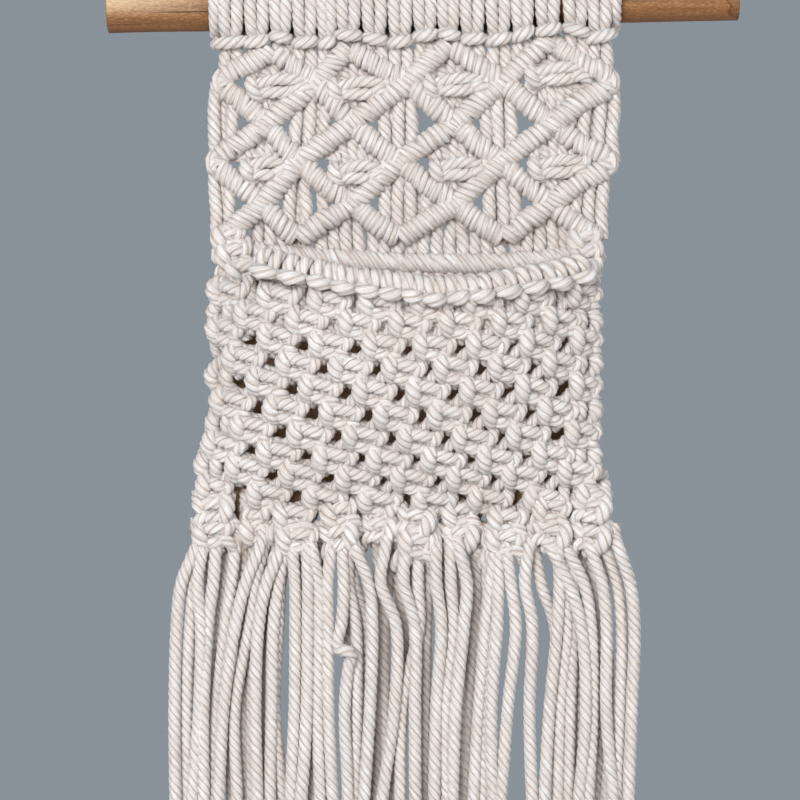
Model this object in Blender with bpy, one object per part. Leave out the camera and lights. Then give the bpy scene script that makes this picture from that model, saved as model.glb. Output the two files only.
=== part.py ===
"""Macrame wall hanging with a pocket, on a wooden rod.

Metres, +Z up, +X along the rod, -Y towards the viewer. The origin is the middle of the rod.
Thirty-two strands of rope hang from lark's heads on the rod, cross in diamonds of hitched bars and go
on down behind a pocket. The pocket's front is a net of square knots in thirty-two more strands. Both
are joined at the bottom, and their ends are the fringe. Sizes below are in millimetres.
"""

import math

import bmesh
import bpy
from mathutils import Matrix, Vector

MM = 0.001
CLEARANCE = 0.3  # between two pieces that touch
ROPE = 5.0  # thickness of the three-ply cotton rope

# Rod
ROD_LENGTH = 265.0
ROD_RADIUS = 10.0
ROD_CHAMFER = 0.6
ROD_SIDES = 32
ROD_TILT = math.radians(1.2)  # it hangs a little higher on the right

# Heading: the lark's heads on the rod
HEADS = 16
HEADING_LEFT = -90.5
HEADING_RIGHT = 82.5
HEADING_INNER = ROD_RADIUS + CLEARANCE
HEADING_RIDGE = HEADING_INNER + ROPE - 0.3
HEADING_VALLEY = HEADING_INNER + 2.6
HEADING_STEPS = 14
BIGHT_ANGLE = math.radians(228)  # where the bar across each head lies, from +Y round over the top
BIGHT_REACH = 11.0
BIGHT_SPREAD = math.radians(34)

# Diamond panel: the middle plane of the back, and its lattice of crossings
PANEL_Y = -(ROD_RADIUS + ROPE / 2)
PANEL_TOP = -20.3
CROSSING_ROWS = (  # height of each row of crossings, and where they lie across the panel
    {"height": -22.9, "across": (-63.0, -31.5, 10.5, 53.0), "upper": 2.2},
    {"height": -33.0, "across": (-82.5, -43.5, -6.0, 33.5, 77.0), "upper": 6.0},
    {"height": -50.5, "across": (-65.0, -29.5, 13.5, 54.0), "upper": 6.0},
    {"height": -66.5, "across": (-84.5, -51.5, -9.5, 33.0, 77.0), "upper": 6.0},
    {"height": -84.0, "across": (-67.0, -29.5, 13.5, 53.0), "upper": 6.0},
    {"height": -98.5, "across": (-82.5, -52.0, -9.5, 34.0, 72.0), "upper": 6.0},
)
CROSSING_SIDE = 7.6  # half the width of a crossing
CROSSING_OUTER = 4.4  # the same at the panel's own sides
CROSSING_LOWER = 6.0  # from its middle to its lower corner
LAST_CROSSING_FOOT = 3.0  # half the width in which the last row of crossings runs into the rear bar
BAR_HALF = {"edge": 1.3, "strand": ROPE / 2, "ridge": 5.2, "valley": 4.1, "crossing": 4.6}
# Edge, middle and edge of two strands along a bar, from its upper corner
STRANDS_ALONG = (0.24, 0.42, 0.60, 0.66, 0.81, 0.96)
KNOT_SPAN = {"top": 0.24, "middle": 0.5, "bottom": 0.76}
KNOT_HALF = {"top": 3.4, "middle": 6.4, "bottom": 3.4}
REAR_BAR = {
    "top": -104.3,
    "middle": -107.8,
    "bottom": -111.3,
    "left": -88.0,
    "right": 77.5,
    "half": 4.2,
    "lump": 0.5,
}

# Pocket's back: straight strands side by side
BACK_TOP = REAR_BAR["bottom"] - CLEARANCE
BACK_BOTTOM = -207.0
BACK_STRANDS = 32
BACK_LEFT = {"top": -88.0, "bottom": -92.0}
BACK_RIGHT = {"top": 77.5, "bottom": 77.5}
BACK_HALF = {"edge": 1.2, "middle": ROPE / 2}
BACK_ROWS = 4

# Pocket's front: a bowed net of square knots
FRONT_CENTRE = -7.5
FRONT_WIDTH = {"top": 157.0, "bottom": 170.0}
FRONT_BOTTOM = -207.0
FRONT_KNOTS = 8  # side by side in a row
FRONT_ROWS = 9
FRONT_BULGE = 26.0  # how far the middle of its mouth stands out from its sides
FRONT_ARCH = 2.6  # how flat the bow is across, as a power
FRONT_TAPER = 2.4  # how soon it draws in towards the bottom, as a power
FRONT_HALF = {"edge": 3.0, "net": 3.0, "hole": 2.6, "knot": 3.2}
FRONT_KNOT_RAISED = 3.2
FRONT_OFF_PANEL = {  # from the panel's middle to the net's, at its sides
    "top": REAR_BAR["half"] + REAR_BAR["lump"] + CLEARANCE + FRONT_HALF["edge"],
    "bottom": BACK_HALF["middle"] + CLEARANCE + FRONT_HALF["edge"],
}
HOLE = {"across": 0.48, "high": 0.50}  # share of its cell that a hole takes
KNOT_FACE = 0.56  # share of its cell that a knot's raised face takes

# Lip: the holding cord with its lark's heads
LIP_MIDDLE = -118.4
LIP_RISE = 7.5  # the ends lie this much higher than the middle
LIP_HALF = {"high": 6.1, "deep": 4.6}
LIP_VALLEY = 0.72
LIP_WIDTH = 157.0
LIP_SIDES = 8
LIP_OFF_PANEL = REAR_BAR["half"] + REAR_BAR["lump"] + CLEARANCE + LIP_HALF["deep"]

# Fringe: the joining knots at the pocket's bottom, and the loose ends
JOIN_TOP = -207.4
JOIN_BOTTOM = -226.5
JOIN_LEFT = -94.0
JOIN_RIGHT = 79.5
JOIN_BACK = -9.5
JOIN_FRONT = -25.5
JOIN_KNOTS = 9
JOIN_VALLEY = 1.8
FRINGE_ROWS = 2
FRINGE_COLUMNS = 32
FRINGE_SIDE = {"across": 4.1, "deep": 4.6}
FRINGE_HEIGHTS = (-300.0, -360.0)
FRINGE_END = {"shortest": -389.0, "longest": -398.0}
FRINGE_SPREAD = {"left": 19.0, "right": 11.0}  # how far its corners stand out from the join


def clear_scene():
    for thing in list(bpy.data.objects):
        bpy.data.objects.remove(thing)


def principled(name, colour, roughness):
    """A plain material of one colour."""
    material = bpy.data.materials.new(name)
    material.use_nodes = True
    shader = material.node_tree.nodes["Principled BSDF"]
    shader.inputs["Base Color"].default_value = (*colour, 1.0)
    shader.inputs["Roughness"].default_value = roughness
    shader.inputs["Metallic"].default_value = 0.0
    material.diffuse_color = (*colour, 1.0)
    return material


def finish(name, mesh, material, smooth=35.0):
    """Makes a bmesh in millimetres an object in metres, its faces outwards."""
    bmesh.ops.recalc_face_normals(mesh, faces=mesh.faces)
    bmesh.ops.scale(mesh, vec=(MM, MM, MM), verts=mesh.verts)
    data = bpy.data.meshes.new(name)
    mesh.to_mesh(data)
    mesh.free()
    data.shade_smooth()
    data.set_sharp_from_angle(angle=math.radians(smooth))
    data.materials.append(material)
    thing = bpy.data.objects.new(name, data)
    bpy.context.scene.collection.objects.link(thing)
    return thing


def mix(first, second, share):
    return first + (second - first) * share


def tilted(height, across):
    """The height, moved with the rod's slope."""
    return height + across * math.tan(ROD_TILT)


class Sheet:
    """Cloth one layer thick. Each point is a front and a back vertex, half the thickness off the middle,
    or the front one further off where only that face is raised.

    Cells lie between points. An edge that only one cell has is open, and closing the sheet walls it.
    """

    def __init__(self, place):
        self.mesh = bmesh.new()
        self.place = place
        self.pairs = {}
        self.at = {}
        self.sides = {}

    def point(self, key, across, height, half, raised=0.0):
        front = self.mesh.verts.new(self.place(across, height, half + raised))
        back = self.mesh.verts.new(self.place(across, height, -half))
        self.pairs[key] = (front, back)
        self.at[key] = (across, height)
        return key

    def between(self, key, first, second, share, half):
        """A point on the line from one point to another."""
        across = mix(self.at[first][0], self.at[second][0], share)
        height = mix(self.at[first][1], self.at[second][1], share)
        return self.point(key, across, height, half)

    def cell(self, *keys):
        self.mesh.faces.new([self.pairs[key][0] for key in keys])
        self.mesh.faces.new([self.pairs[key][1] for key in reversed(keys)])
        for side in zip(keys, keys[1:] + keys[:1]):
            self.sides.setdefault(frozenset(side), []).append(side)

    def strip(self, first, second):
        """Cells between two rows of points."""
        for index in range(len(first) - 1):
            self.cell(first[index], first[index + 1], second[index + 1], second[index])

    def closed(self):
        for uses in self.sides.values():
            if len(uses) == 1:
                (front_a, back_a), (front_b, back_b) = (self.pairs[key] for key in uses[0])
                self.mesh.faces.new((front_b, front_a, back_a, back_b))
        return self.mesh


def make_rod(material):
    mesh = bmesh.new()
    along_x = Matrix.Rotation(math.pi / 2, 4, "Y")
    bmesh.ops.create_cone(
        mesh,
        cap_ends=True,
        segments=ROD_SIDES,
        radius1=ROD_RADIUS,
        radius2=ROD_RADIUS,
        depth=ROD_LENGTH,
        matrix=along_x,
    )
    rims = [edge for edge in mesh.edges if any(len(face.verts) > 4 for face in edge.link_faces)]
    bmesh.ops.bevel(mesh, geom=rims, offset=ROD_CHAMFER, segments=1, affect="EDGES", profile=0.5)
    bmesh.ops.rotate(mesh, verts=mesh.verts, matrix=Matrix.Rotation(-ROD_TILT, 3, "Y"))
    return finish("rod", mesh, material)


def heading_radius(angle, ridge, bight):
    """How far the heading reaches from the rod's middle: round loops, and in front the bar under it."""
    loops = mix(HEADING_VALLEY, HEADING_RIDGE, ridge)
    off = abs(angle - BIGHT_ANGLE) / BIGHT_SPREAD
    swell = max(0.0, 1.0 - off * off)
    return loops + BIGHT_REACH * swell * mix(0.72, 1.0, bight)


def ring_round_rod(mesh, across, radius_at):
    """A ring of points round the rod; radius_at gives their distance from its middle at an angle."""
    ring = []
    for step in range(HEADING_STEPS):
        angle = 2 * math.pi * step / HEADING_STEPS
        radius = radius_at(angle)
        ring.append(mesh.verts.new((across, radius * math.cos(angle), radius * math.sin(angle))))
    return ring


def join_rings(mesh, rings):
    """Faces between each ring of points and the next."""
    for first, second in zip(rings, rings[1:]):
        for step in range(len(first)):
            after = (step + 1) % len(first)
            mesh.faces.new((first[step], first[after], second[after], second[step]))


def make_heading(material):
    """Thirty-two loops side by side round the rod, with a bar across each pair in front."""
    mesh = bmesh.new()
    stations = 4 * HEADS + 1
    rings = []
    for station in range(stations):
        across = mix(HEADING_LEFT, HEADING_RIGHT, station / (stations - 1))
        ridge = station % 2
        bight = math.sin(math.pi * (station % 4) / 4)
        rings.append(ring_round_rod(mesh, across, lambda angle: heading_radius(angle, ridge, bight)))
    # A ring of few sides is drawn out a little, so that its flats clear the round rod.
    bore_radius = HEADING_INNER / math.cos(math.pi / HEADING_STEPS)
    left, right = (
        ring_round_rod(mesh, across, lambda angle: bore_radius)
        for across in (HEADING_LEFT, HEADING_RIGHT)
    )
    join_rings(mesh, [left, *rings, right, left])
    bmesh.ops.rotate(mesh, verts=mesh.verts, matrix=Matrix.Rotation(-ROD_TILT, 3, "Y"))
    return finish("heading", mesh, material)


def flat_panel(across, height, off):
    """A place in the panel's plane, off it towards the viewer."""
    return Vector((across, PANEL_Y - off, height))


def add_crossings(sheet):
    """The middle and the four corners of each crossing of two bars."""
    for row, data in enumerate(CROSSING_ROWS):
        for column, across in enumerate(data["across"]):
            height = tilted(data["height"], across) if row == 0 else data["height"]
            sheet.point((row, column, "middle"), across, height, BAR_HALF["crossing"])
            at_left = row % 2 == 1 and column == 0
            at_right = row % 2 == 1 and column == len(data["across"]) - 1
            corners = {
                "top": (0.0, data["upper"]),
                "left": (-CROSSING_OUTER if at_left else -CROSSING_SIDE, 0.0),
                "right": (CROSSING_OUTER if at_right else CROSSING_SIDE, 0.0),
            }
            if row < len(CROSSING_ROWS) - 1:
                corners["bottom"] = (0.0, -CROSSING_LOWER)
            for corner, (aside, up) in corners.items():
                sheet.point((row, column, corner), across + aside, height + up, BAR_HALF["edge"])


def add_bar(sheet, upper, lower, side):
    """One hitched bar from a crossing down to the next; side is the way it leans out at its top."""
    other = "right" if side == "left" else "left"
    tops, ridges, bottoms = [(*upper, side)], [(*upper, "middle")], [(*upper, "bottom")]
    ends = ((*lower, "top"), (*lower, "middle"), (*lower, other))
    halves = (BAR_HALF["edge"], BAR_HALF["strand"], BAR_HALF["edge"])
    for index, share in enumerate(STRANDS_ALONG):
        half = halves[index % 3]
        back_share = 1.0 - STRANDS_ALONG[-1 - index]
        name = (upper, lower, index)
        crest = BAR_HALF["ridge"] if index % 3 == 1 else BAR_HALF["valley"]
        tops.append(sheet.between((*name, "top"), tops[0], ends[0], share, half))
        bottoms.append(sheet.between((*name, "bottom"), bottoms[0], ends[2], back_share, half))
        middle = (share + back_share) / 2
        ridges.append(sheet.between((*name, "ridge"), ridges[0], ends[1], middle, crest))
    sheet.strip(tops + [ends[0]], ridges + [ends[1]])
    sheet.strip(ridges + [ends[1]], bottoms + [ends[2]])


def add_bars(sheet):
    for row in range(len(CROSSING_ROWS) - 1):
        for column in range(len(CROSSING_ROWS[row]["across"])):
            # An even row has one crossing fewer, each between two of the next row.
            left_column = column if row % 2 == 0 else column - 1
            for side, below in (("left", left_column), ("right", left_column + 1)):
                if 0 <= below < len(CROSSING_ROWS[row + 1]["across"]):
                    add_bar(sheet, (row, column), (row + 1, below), side)


def edge_points(upper, lower, edge, leftwards):
    """The names of a bar's six points along its top or bottom edge, from left to right."""
    order = range(len(STRANDS_ALONG))
    return [(upper, lower, index, edge) for index in (reversed(order) if leftwards else order)]


def opening_edges(row, column):
    """The points over and under the opening whose left and right corners lie in this row.

    The opening is right of the crossing in this column; column -1 is the half opening at the left edge.
    """
    count = len(CROSSING_ROWS[row]["across"])
    above, below = row - 1, row + 1
    inner = column if row % 2 == 1 else column + 1
    over, under = [], []
    if above >= 0:
        if column >= 0:
            over += edge_points((above, inner), (row, column), "bottom", leftwards=True)
        if column + 1 < count:
            over += edge_points((above, inner), (row, column + 1), "bottom", leftwards=False)
    if below < len(CROSSING_ROWS):
        if column >= 0:
            under += edge_points((row, column), (below, inner), "top", leftwards=False)
        if column + 1 < count:
            under += edge_points((row, column + 1), (below, inner), "top", leftwards=True)
    return over, under


def add_strands(sheet, over, under):
    """Straight strands, three points wide, from the points over an opening to those under it."""
    for first in range(0, len(over), 3):
        sheet.strip(over[first : first + 3], under[first : first + 3])


def add_knotted_strands(sheet, name, over, under):
    """Strands that a square knot ties together half way down."""
    rows = {}
    for level in ("top", "middle", "bottom"):
        rows[level] = [
            sheet.between((name, level, index), first, second, KNOT_SPAN[level], KNOT_HALF[level])
            for index, (first, second) in enumerate(zip(over, under))
        ]
    add_strands(sheet, over, rows["top"])
    sheet.strip(rows["top"], rows["middle"])
    sheet.strip(rows["middle"], rows["bottom"])
    add_strands(sheet, rows["bottom"], under)


def add_openings(sheet):
    """The loose strands in each opening of the lattice, and the knots in every other row of openings."""
    for row in range(len(CROSSING_ROWS) - 1):
        count = len(CROSSING_ROWS[row]["across"])
        for column in range(-1 if row % 2 == 0 else 0, count if row % 2 == 0 else count - 1):
            over, under = opening_edges(row, column)
            if not over:
                over = [
                    sheet.point(("head", *key), across, tilted(PANEL_TOP, across), half)
                    for key, across, half in strand_tops(sheet, under)
                ]
            if row in (1, 3):
                add_knotted_strands(sheet, ("knot", row, column), over, under)
            else:
                add_strands(sheet, over, under)


def strand_tops(sheet, under):
    """Each point under an opening, with its place across and its half thickness at a strand's cut top."""
    halves = (BAR_HALF["edge"], BAR_HALF["strand"], BAR_HALF["edge"])
    return [(key, sheet.at[key][0], halves[index % 3]) for index, key in enumerate(under)]


def add_outer_corners(sheet):
    """Rounds the crossings at the panel's top, sides and bottom, where fewer than four bars meet."""
    last = len(CROSSING_ROWS) - 1
    for row, data in enumerate(CROSSING_ROWS):
        for column in range(len(data["across"])):
            name = (row, column)
            middle, left, right = (*name, "middle"), (*name, "left"), (*name, "right")
            top, bottom = (*name, "top"), (*name, "bottom")
            if row == 0:
                sheet.cell(top, left, middle)
                sheet.cell(top, middle, right)
            elif column == 0 and row % 2 == 1:
                sheet.cell(top, left, middle)
                if row < last:
                    sheet.cell(middle, left, bottom)
            elif column == len(data["across"]) - 1 and row % 2 == 1:
                sheet.cell(top, middle, right)
                if row < last:
                    sheet.cell(middle, bottom, right)


def add_rear_bar(sheet):
    """The straight bar that ends the panel. The last crossings and strands run into its top edge."""
    row = len(CROSSING_ROWS) - 1
    count = len(CROSSING_ROWS[row]["across"])
    tops = [sheet.point("rear left", REAR_BAR["left"], REAR_BAR["top"], BAR_HALF["edge"])]
    for column in range(count):
        across = CROSSING_ROWS[row]["across"][column]
        feet = [
            sheet.point((row, column, "foot", aside), across + aside, REAR_BAR["top"], BAR_HALF["edge"])
            for aside in (-LAST_CROSSING_FOOT, LAST_CROSSING_FOOT)
        ]
        middle = (row, column, "middle")
        sheet.cell(middle, (row, column, "left"), feet[0])
        sheet.cell(middle, *feet)
        sheet.cell(middle, feet[1], (row, column, "right"))
        tops += feet
        if column < count - 1:
            over, _ = opening_edges(row, column)
            ends = [
                sheet.point(("rear", *key), across, REAR_BAR["top"], half)
                for key, across, half in strand_tops(sheet, over)
            ]
            add_strands(sheet, over, ends)
            tops += ends
    tops.append(sheet.point("rear right", REAR_BAR["right"], REAR_BAR["top"], BAR_HALF["edge"]))
    ridges, bottoms = [], []
    for index, key in enumerate(tops):
        across = sheet.at[key][0]
        half = REAR_BAR["half"] + (REAR_BAR["lump"] if index % 2 else 0.0)
        if key in (tops[0], tops[-1]):
            half = BAR_HALF["strand"]
        ridges.append(sheet.point(("rear ridge", index), across, REAR_BAR["middle"], half))
        bottoms.append(sheet.point(("rear under", index), across, REAR_BAR["bottom"], BAR_HALF["edge"]))
    sheet.strip(tops, ridges)
    sheet.strip(ridges, bottoms)


def make_diamond_panel(material):
    sheet = Sheet(flat_panel)
    add_crossings(sheet)
    add_bars(sheet)
    add_outer_corners(sheet)
    add_openings(sheet)
    add_rear_bar(sheet)
    return finish("diamond_panel", sheet.closed(), material)


def make_pocket_back(material):
    """Thirty-two straight strands side by side."""
    sheet = Sheet(flat_panel)
    rows = []
    for row in range(BACK_ROWS):
        share = row / (BACK_ROWS - 1)
        left = mix(BACK_LEFT["top"], BACK_LEFT["bottom"], share)
        right = mix(BACK_RIGHT["top"], BACK_RIGHT["bottom"], share)
        line = []
        for index in range(2 * BACK_STRANDS + 1):
            half = BACK_HALF["middle"] if index % 2 else BACK_HALF["edge"]
            across = mix(left, right, index / (2 * BACK_STRANDS))
            line.append(sheet.point((row, index), across, mix(BACK_TOP, BACK_BOTTOM, share), half))
        rows.append(line)
    for first, second in zip(rows, rows[1:]):
        sheet.strip(first, second)
    return finish("pocket_back", sheet.closed(), material)


def bulge(side, down):
    """How far the pocket's front stands out; side runs from -1 to 1 and down from 0 to 1."""
    return FRONT_BULGE * (1.0 - abs(side) ** FRONT_ARCH) * (1.0 - down**FRONT_TAPER)


def lip_height(side):
    return LIP_MIDDLE + LIP_RISE * side * side


def front_middle(side, down):
    """The middle of the pocket front's cloth."""
    width = mix(FRONT_WIDTH["top"], FRONT_WIDTH["bottom"], down)
    top = lip_height(side) - LIP_HALF["high"] - CLEARANCE
    return Vector((
        FRONT_CENTRE + side * width / 2,
        PANEL_Y - mix(FRONT_OFF_PANEL["top"], FRONT_OFF_PANEL["bottom"], down) - bulge(side, down),
        mix(top, FRONT_BOTTOM, down),
    ))


def front_place(across, height, off):
    """A place on the pocket's front, off its middle along the way the cloth faces across."""
    side, down = across, height
    reach = 0.01
    slope = (bulge(min(side + reach, 1.0), down) - bulge(max(side - reach, -1.0), down)) / (
        FRONT_WIDTH["top"] * reach
    )
    facing = Vector((-slope, -1.0, 0.0)).normalized()
    return front_middle(side, down) + facing * off


def add_net_cell(sheet, row, column, corners):
    """A square knot's raised face, or a hole, between the four corners of its cell."""
    inner = []
    is_knot = (row + column) % 2 == 0
    is_edge = column in (0, 2 * FRONT_KNOTS - 1) or row == 0
    share_across = KNOT_FACE if is_knot else HOLE["across"]
    share_high = KNOT_FACE if is_knot else HOLE["high"]
    half = FRONT_HALF["knot"] if is_knot else FRONT_HALF["hole"]
    raised = FRONT_KNOT_RAISED if is_knot else 0.0
    centre_across = sum(sheet.at[key][0] for key in corners) / 4
    centre_height = sum(sheet.at[key][1] for key in corners) / 4
    if is_edge and not is_knot:
        sheet.cell(*corners)
        return
    for index, key in enumerate(corners):
        across = mix(centre_across, sheet.at[key][0], share_across)
        height = mix(centre_height, sheet.at[key][1], share_high)
        inner.append(sheet.point(("net", row, column, index), across, height, half, raised))
    for index in range(4):
        after = (index + 1) % 4
        sheet.cell(corners[index], corners[after], inner[after], inner[index])
    if is_knot:
        sheet.cell(*inner)


def make_pocket_front(material):
    """The net: square knots, and a hole between each and its neighbours."""
    sheet = Sheet(front_place)
    columns = 2 * FRONT_KNOTS
    for row in range(FRONT_ROWS + 1):
        for column in range(columns + 1):
            side = -1.0 + 2.0 * column / columns
            half = FRONT_HALF["edge"] if column in (0, columns) else FRONT_HALF["net"]
            sheet.point((row, column), side, row / FRONT_ROWS, half)
    for row in range(FRONT_ROWS):
        for column in range(columns):
            corners = [(row, column), (row + 1, column), (row + 1, column + 1), (row, column + 1)]
            add_net_cell(sheet, row, column, corners)
    return finish("pocket_front", sheet.closed(), material)


def make_lip(material):
    """The holding cord and its heads: a ridged bar along the top of the pocket's front."""
    mesh = bmesh.new()
    stations = 4 * HEADS + 1
    rings = []
    for station in range(stations):
        side = -1.0 + 2.0 * station / (stations - 1)
        middle = Vector((
            FRONT_CENTRE + side * LIP_WIDTH / 2,
            PANEL_Y - LIP_OFF_PANEL - bulge(side, 0.0),
            lip_height(side),
        ))
        swell = 1.0 if station % 2 else LIP_VALLEY
        if station in (0, stations - 1):
            swell = 0.6
        ring = []
        for step in range(LIP_SIDES):
            angle = 2 * math.pi * (step + 0.5) / LIP_SIDES
            deep = LIP_HALF["deep"] * swell * math.cos(angle)
            high = LIP_HALF["high"] * math.sin(angle) * mix(1.0, swell, 0.5)
            ring.append(mesh.verts.new(middle + Vector((0.0, deep, high))))
        rings.append(ring)
    join_rings(mesh, rings)
    mesh.faces.new(rings[0])
    mesh.faces.new(rings[-1])
    return finish("pocket_lip", mesh, material)


def join_block(mesh):
    """The row of joining knots. Its underside has one face for each strand; gives those back by place."""
    columns = FRINGE_COLUMNS
    lines = {}
    for row in range(FRINGE_ROWS + 1):
        deep = mix(JOIN_BACK, JOIN_FRONT, row / FRINGE_ROWS)
        for column in range(columns + 1):
            across = mix(JOIN_LEFT, JOIN_RIGHT, column / columns)
            # The outer faces draw in between two knots.
            wave = abs(math.sin(math.pi * JOIN_KNOTS * column / columns))
            inwards = JOIN_VALLEY * (1.0 - wave) * (0 if row == 1 else (-1 if row == 0 else 1))
            place = Vector((across, deep + inwards, JOIN_BOTTOM))
            lines["low", row, column] = mesh.verts.new(place)
            if row != 1:
                above = place + Vector((0, 0, JOIN_TOP - JOIN_BOTTOM))
                lines["high", row, column] = mesh.verts.new(above)
    undersides = {}
    for column in range(columns):
        after = column + 1
        for row in range(FRINGE_ROWS):
            corners = ((row, column), (row, after), (row + 1, after), (row + 1, column))
            undersides[row, column] = mesh.faces.new([lines["low", *corner] for corner in corners])
        top = ((0, column), (2, column), (2, after), (0, after))
        mesh.faces.new([lines["high", *corner] for corner in top])
        for row in (0, FRINGE_ROWS):
            low, low_after = lines["low", row, column], lines["low", row, after]
            high, high_after = lines["high", row, column], lines["high", row, after]
            mesh.faces.new((low, high, high_after, low_after))
    for column in (0, columns):
        low = [lines["low", row, column] for row in range(FRINGE_ROWS + 1)]
        mesh.faces.new([*low, lines["high", FRINGE_ROWS, column], lines["high", 0, column]])
    return undersides


def strand_middle(row, column, height):
    """Where a loose strand's middle is at a height: it leans outwards, more towards the fringe's corners."""
    side = (column + 0.5) / FRINGE_COLUMNS
    fallen = (JOIN_BOTTOM - height) / (JOIN_BOTTOM - FRINGE_END["longest"])
    left = JOIN_LEFT - FRINGE_SPREAD["left"] * fallen
    right = JOIN_RIGHT + FRINGE_SPREAD["right"] * fallen
    deep = mix(JOIN_BACK, JOIN_FRONT, (row + 0.5) / FRINGE_ROWS)
    return Vector((mix(left, right, side), deep, height))


def strand_end(row, column):
    """The uneven height at which a strand is cut."""
    uneven = 0.5 + 0.5 * math.sin(2.1 * column + 4.0 * row)
    return mix(FRINGE_END["shortest"], FRINGE_END["longest"], uneven)


def make_fringe(material):
    """The joining knots, and a four-sided strand drawn down out of each face of their underside."""
    mesh = bmesh.new()
    undersides = join_block(mesh)
    corners = ((-0.5, 0.5), (0.5, 0.5), (0.5, -0.5), (-0.5, -0.5))
    for (row, column), face in undersides.items():
        bmesh.ops.inset_individual(mesh, faces=[face], thickness=0.3, use_even_offset=True)
        heights = (JOIN_BOTTOM, *FRINGE_HEIGHTS, strand_end(row, column))
        for index, height in enumerate(heights):
            if index:
                face = bmesh.ops.extrude_discrete_faces(mesh, faces=[face])["faces"][0]
            middle = strand_middle(row, column, height)
            for vert, (aside, deep) in zip(face.verts, corners):
                offset = Vector((aside * FRINGE_SIDE["across"], deep * FRINGE_SIDE["deep"], 0.0))
                vert.co = middle + offset
    return finish("fringe", mesh, material)


def main():
    clear_scene()
    wood = principled("oiled_wood", (0.36, 0.19, 0.09), 0.5)
    rope = principled("natural_cotton_rope", (0.78, 0.71, 0.65), 0.9)
    make_rod(wood)
    make_heading(rope)
    make_diamond_panel(rope)
    make_pocket_back(rope)
    make_lip(rope)
    make_pocket_front(rope)
    make_fringe(rope)


main()
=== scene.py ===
"""The looks of a macrame wall hanging with a pocket, on a wooden rod.

The hanging is laid as real runs of four-ply cotton rope: lark's heads on the rod, bars of double half
hitches that cross in diamonds, square knots in the diamonds and in the pocket's net, and loose ends.
Sizes are millimetres until a mesh is made, +X runs along the rod, +Z is up and -Y is towards the viewer.
"""

import logging
import math
import random
from collections.abc import Callable, Sequence
from dataclasses import dataclass
from enum import Enum

import bmesh
import bpy
import numpy as np
from mathutils import Matrix, Vector

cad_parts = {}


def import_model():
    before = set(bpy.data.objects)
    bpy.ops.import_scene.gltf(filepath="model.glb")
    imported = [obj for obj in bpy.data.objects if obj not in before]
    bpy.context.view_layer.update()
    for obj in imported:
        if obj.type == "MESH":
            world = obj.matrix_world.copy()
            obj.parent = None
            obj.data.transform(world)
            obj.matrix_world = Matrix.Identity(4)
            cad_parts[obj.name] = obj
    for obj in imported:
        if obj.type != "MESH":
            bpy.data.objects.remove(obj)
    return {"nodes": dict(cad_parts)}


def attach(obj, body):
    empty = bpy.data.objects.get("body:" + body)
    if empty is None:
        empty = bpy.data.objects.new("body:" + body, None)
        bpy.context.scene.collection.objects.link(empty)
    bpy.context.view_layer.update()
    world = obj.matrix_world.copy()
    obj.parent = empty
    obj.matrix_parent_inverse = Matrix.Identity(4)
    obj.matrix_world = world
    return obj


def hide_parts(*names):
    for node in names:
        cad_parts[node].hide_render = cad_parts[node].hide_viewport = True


LOG = logging.getLogger("wall_hanging")
MM = 0.001
ROD_TILT = math.radians(1.2)
ROD_RADIUS = 10.0
ROD_HEIGHT = 1.4
PANEL_Y = -12.5
VIEW_CENTRE = (-9.6, -165.5)
VIEW_DISTANCE = 1300.0

TO_VIEWER = np.array([0.0, -1.0, 0.0])
UPRIGHT = np.array([0.0, 0.0, 1.0])
# Room beside a knot where nothing limits it.
FREE = 40.0
# What the front bar of a lark's head leaves free at each side, which the rope's own roundness takes up.
BAR_MARGIN = 1.3

Point = tuple[float, float, float]
Colour = tuple[float, float, float]
Run = tuple[tuple[float, ...], ...]


def mix(first: float, second: float, share: float) -> float:
    """Gives the value a share of the way from the first to the second."""
    return first + (second - first) * share


def shown(name: str, data: bpy.types.ID) -> bpy.types.Object:
    """Makes an object of a mesh, a curve, a lamp or a camera, and puts it in the scene.

    Args:
        name: The object's name.
        data: What it shows.

    Returns:
        The object.
    """
    thing = bpy.data.objects.new(name, data)
    bpy.context.scene.collection.objects.link(thing)
    return thing


def mesh_of(shape: bmesh.types.BMesh, name: str) -> bpy.types.Mesh:
    """Puts a finished shape into a new mesh and frees the shape.

    Args:
        shape: The shape.
        name: The mesh's name.

    Returns:
        The mesh.
    """
    mesh = bpy.data.meshes.new(name)
    shape.to_mesh(mesh)
    shape.free()
    return mesh


# ---------------------------------------------------------------------------- rope


@dataclass(frozen=True)
class Rope:
    """Four-ply cotton rope.

    Attributes:
        radius: From the rope's axis to the crest of a ply.
        valley: Share of the radius at the groove between two plies.
        turn: Length in which a ply goes once round.
        ring: Length between two cross-sections of the mesh.
        plies: Number of plies.
        points_a_ply: Points of the cross-section for each ply, the first of them in the groove.
    """

    radius: float = 2.65
    valley: float = 0.82
    turn: float = 14.3
    ring: float = 1.5
    plies: int = 4
    points_a_ply: int = 3

    def outline(self) -> bpy.types.Object:
        """Makes the closed curve that the rope's cross-section follows.

        Returns:
            The curve's object, a millimetre in radius, which each run's own radius scales.
        """
        curve = bpy.data.curves.new("rope_outline", "CURVE")
        curve.dimensions = "2D"
        spline = curve.splines.new("POLY")
        count = self.plies * self.points_a_ply
        spline.points.add(count - 1)
        for index, point in enumerate(spline.points):
            angle = 2 * math.pi * index / count
            reach = MM * (1.0 if index % self.points_a_ply else self.valley)
            point.co = (reach * math.cos(angle), reach * math.sin(angle), 0.0, 1.0)
        spline.use_cyclic_u = True
        return shown("rope_outline", curve)


ROPE = Rope()
TIGHT_ROPE = Rope(valley=0.90, turn=400.0)
LIP_ROPE = Rope(valley=0.84, turn=24.0)
NET_ROPE = Rope(valley=0.87, turn=10.8)


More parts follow.
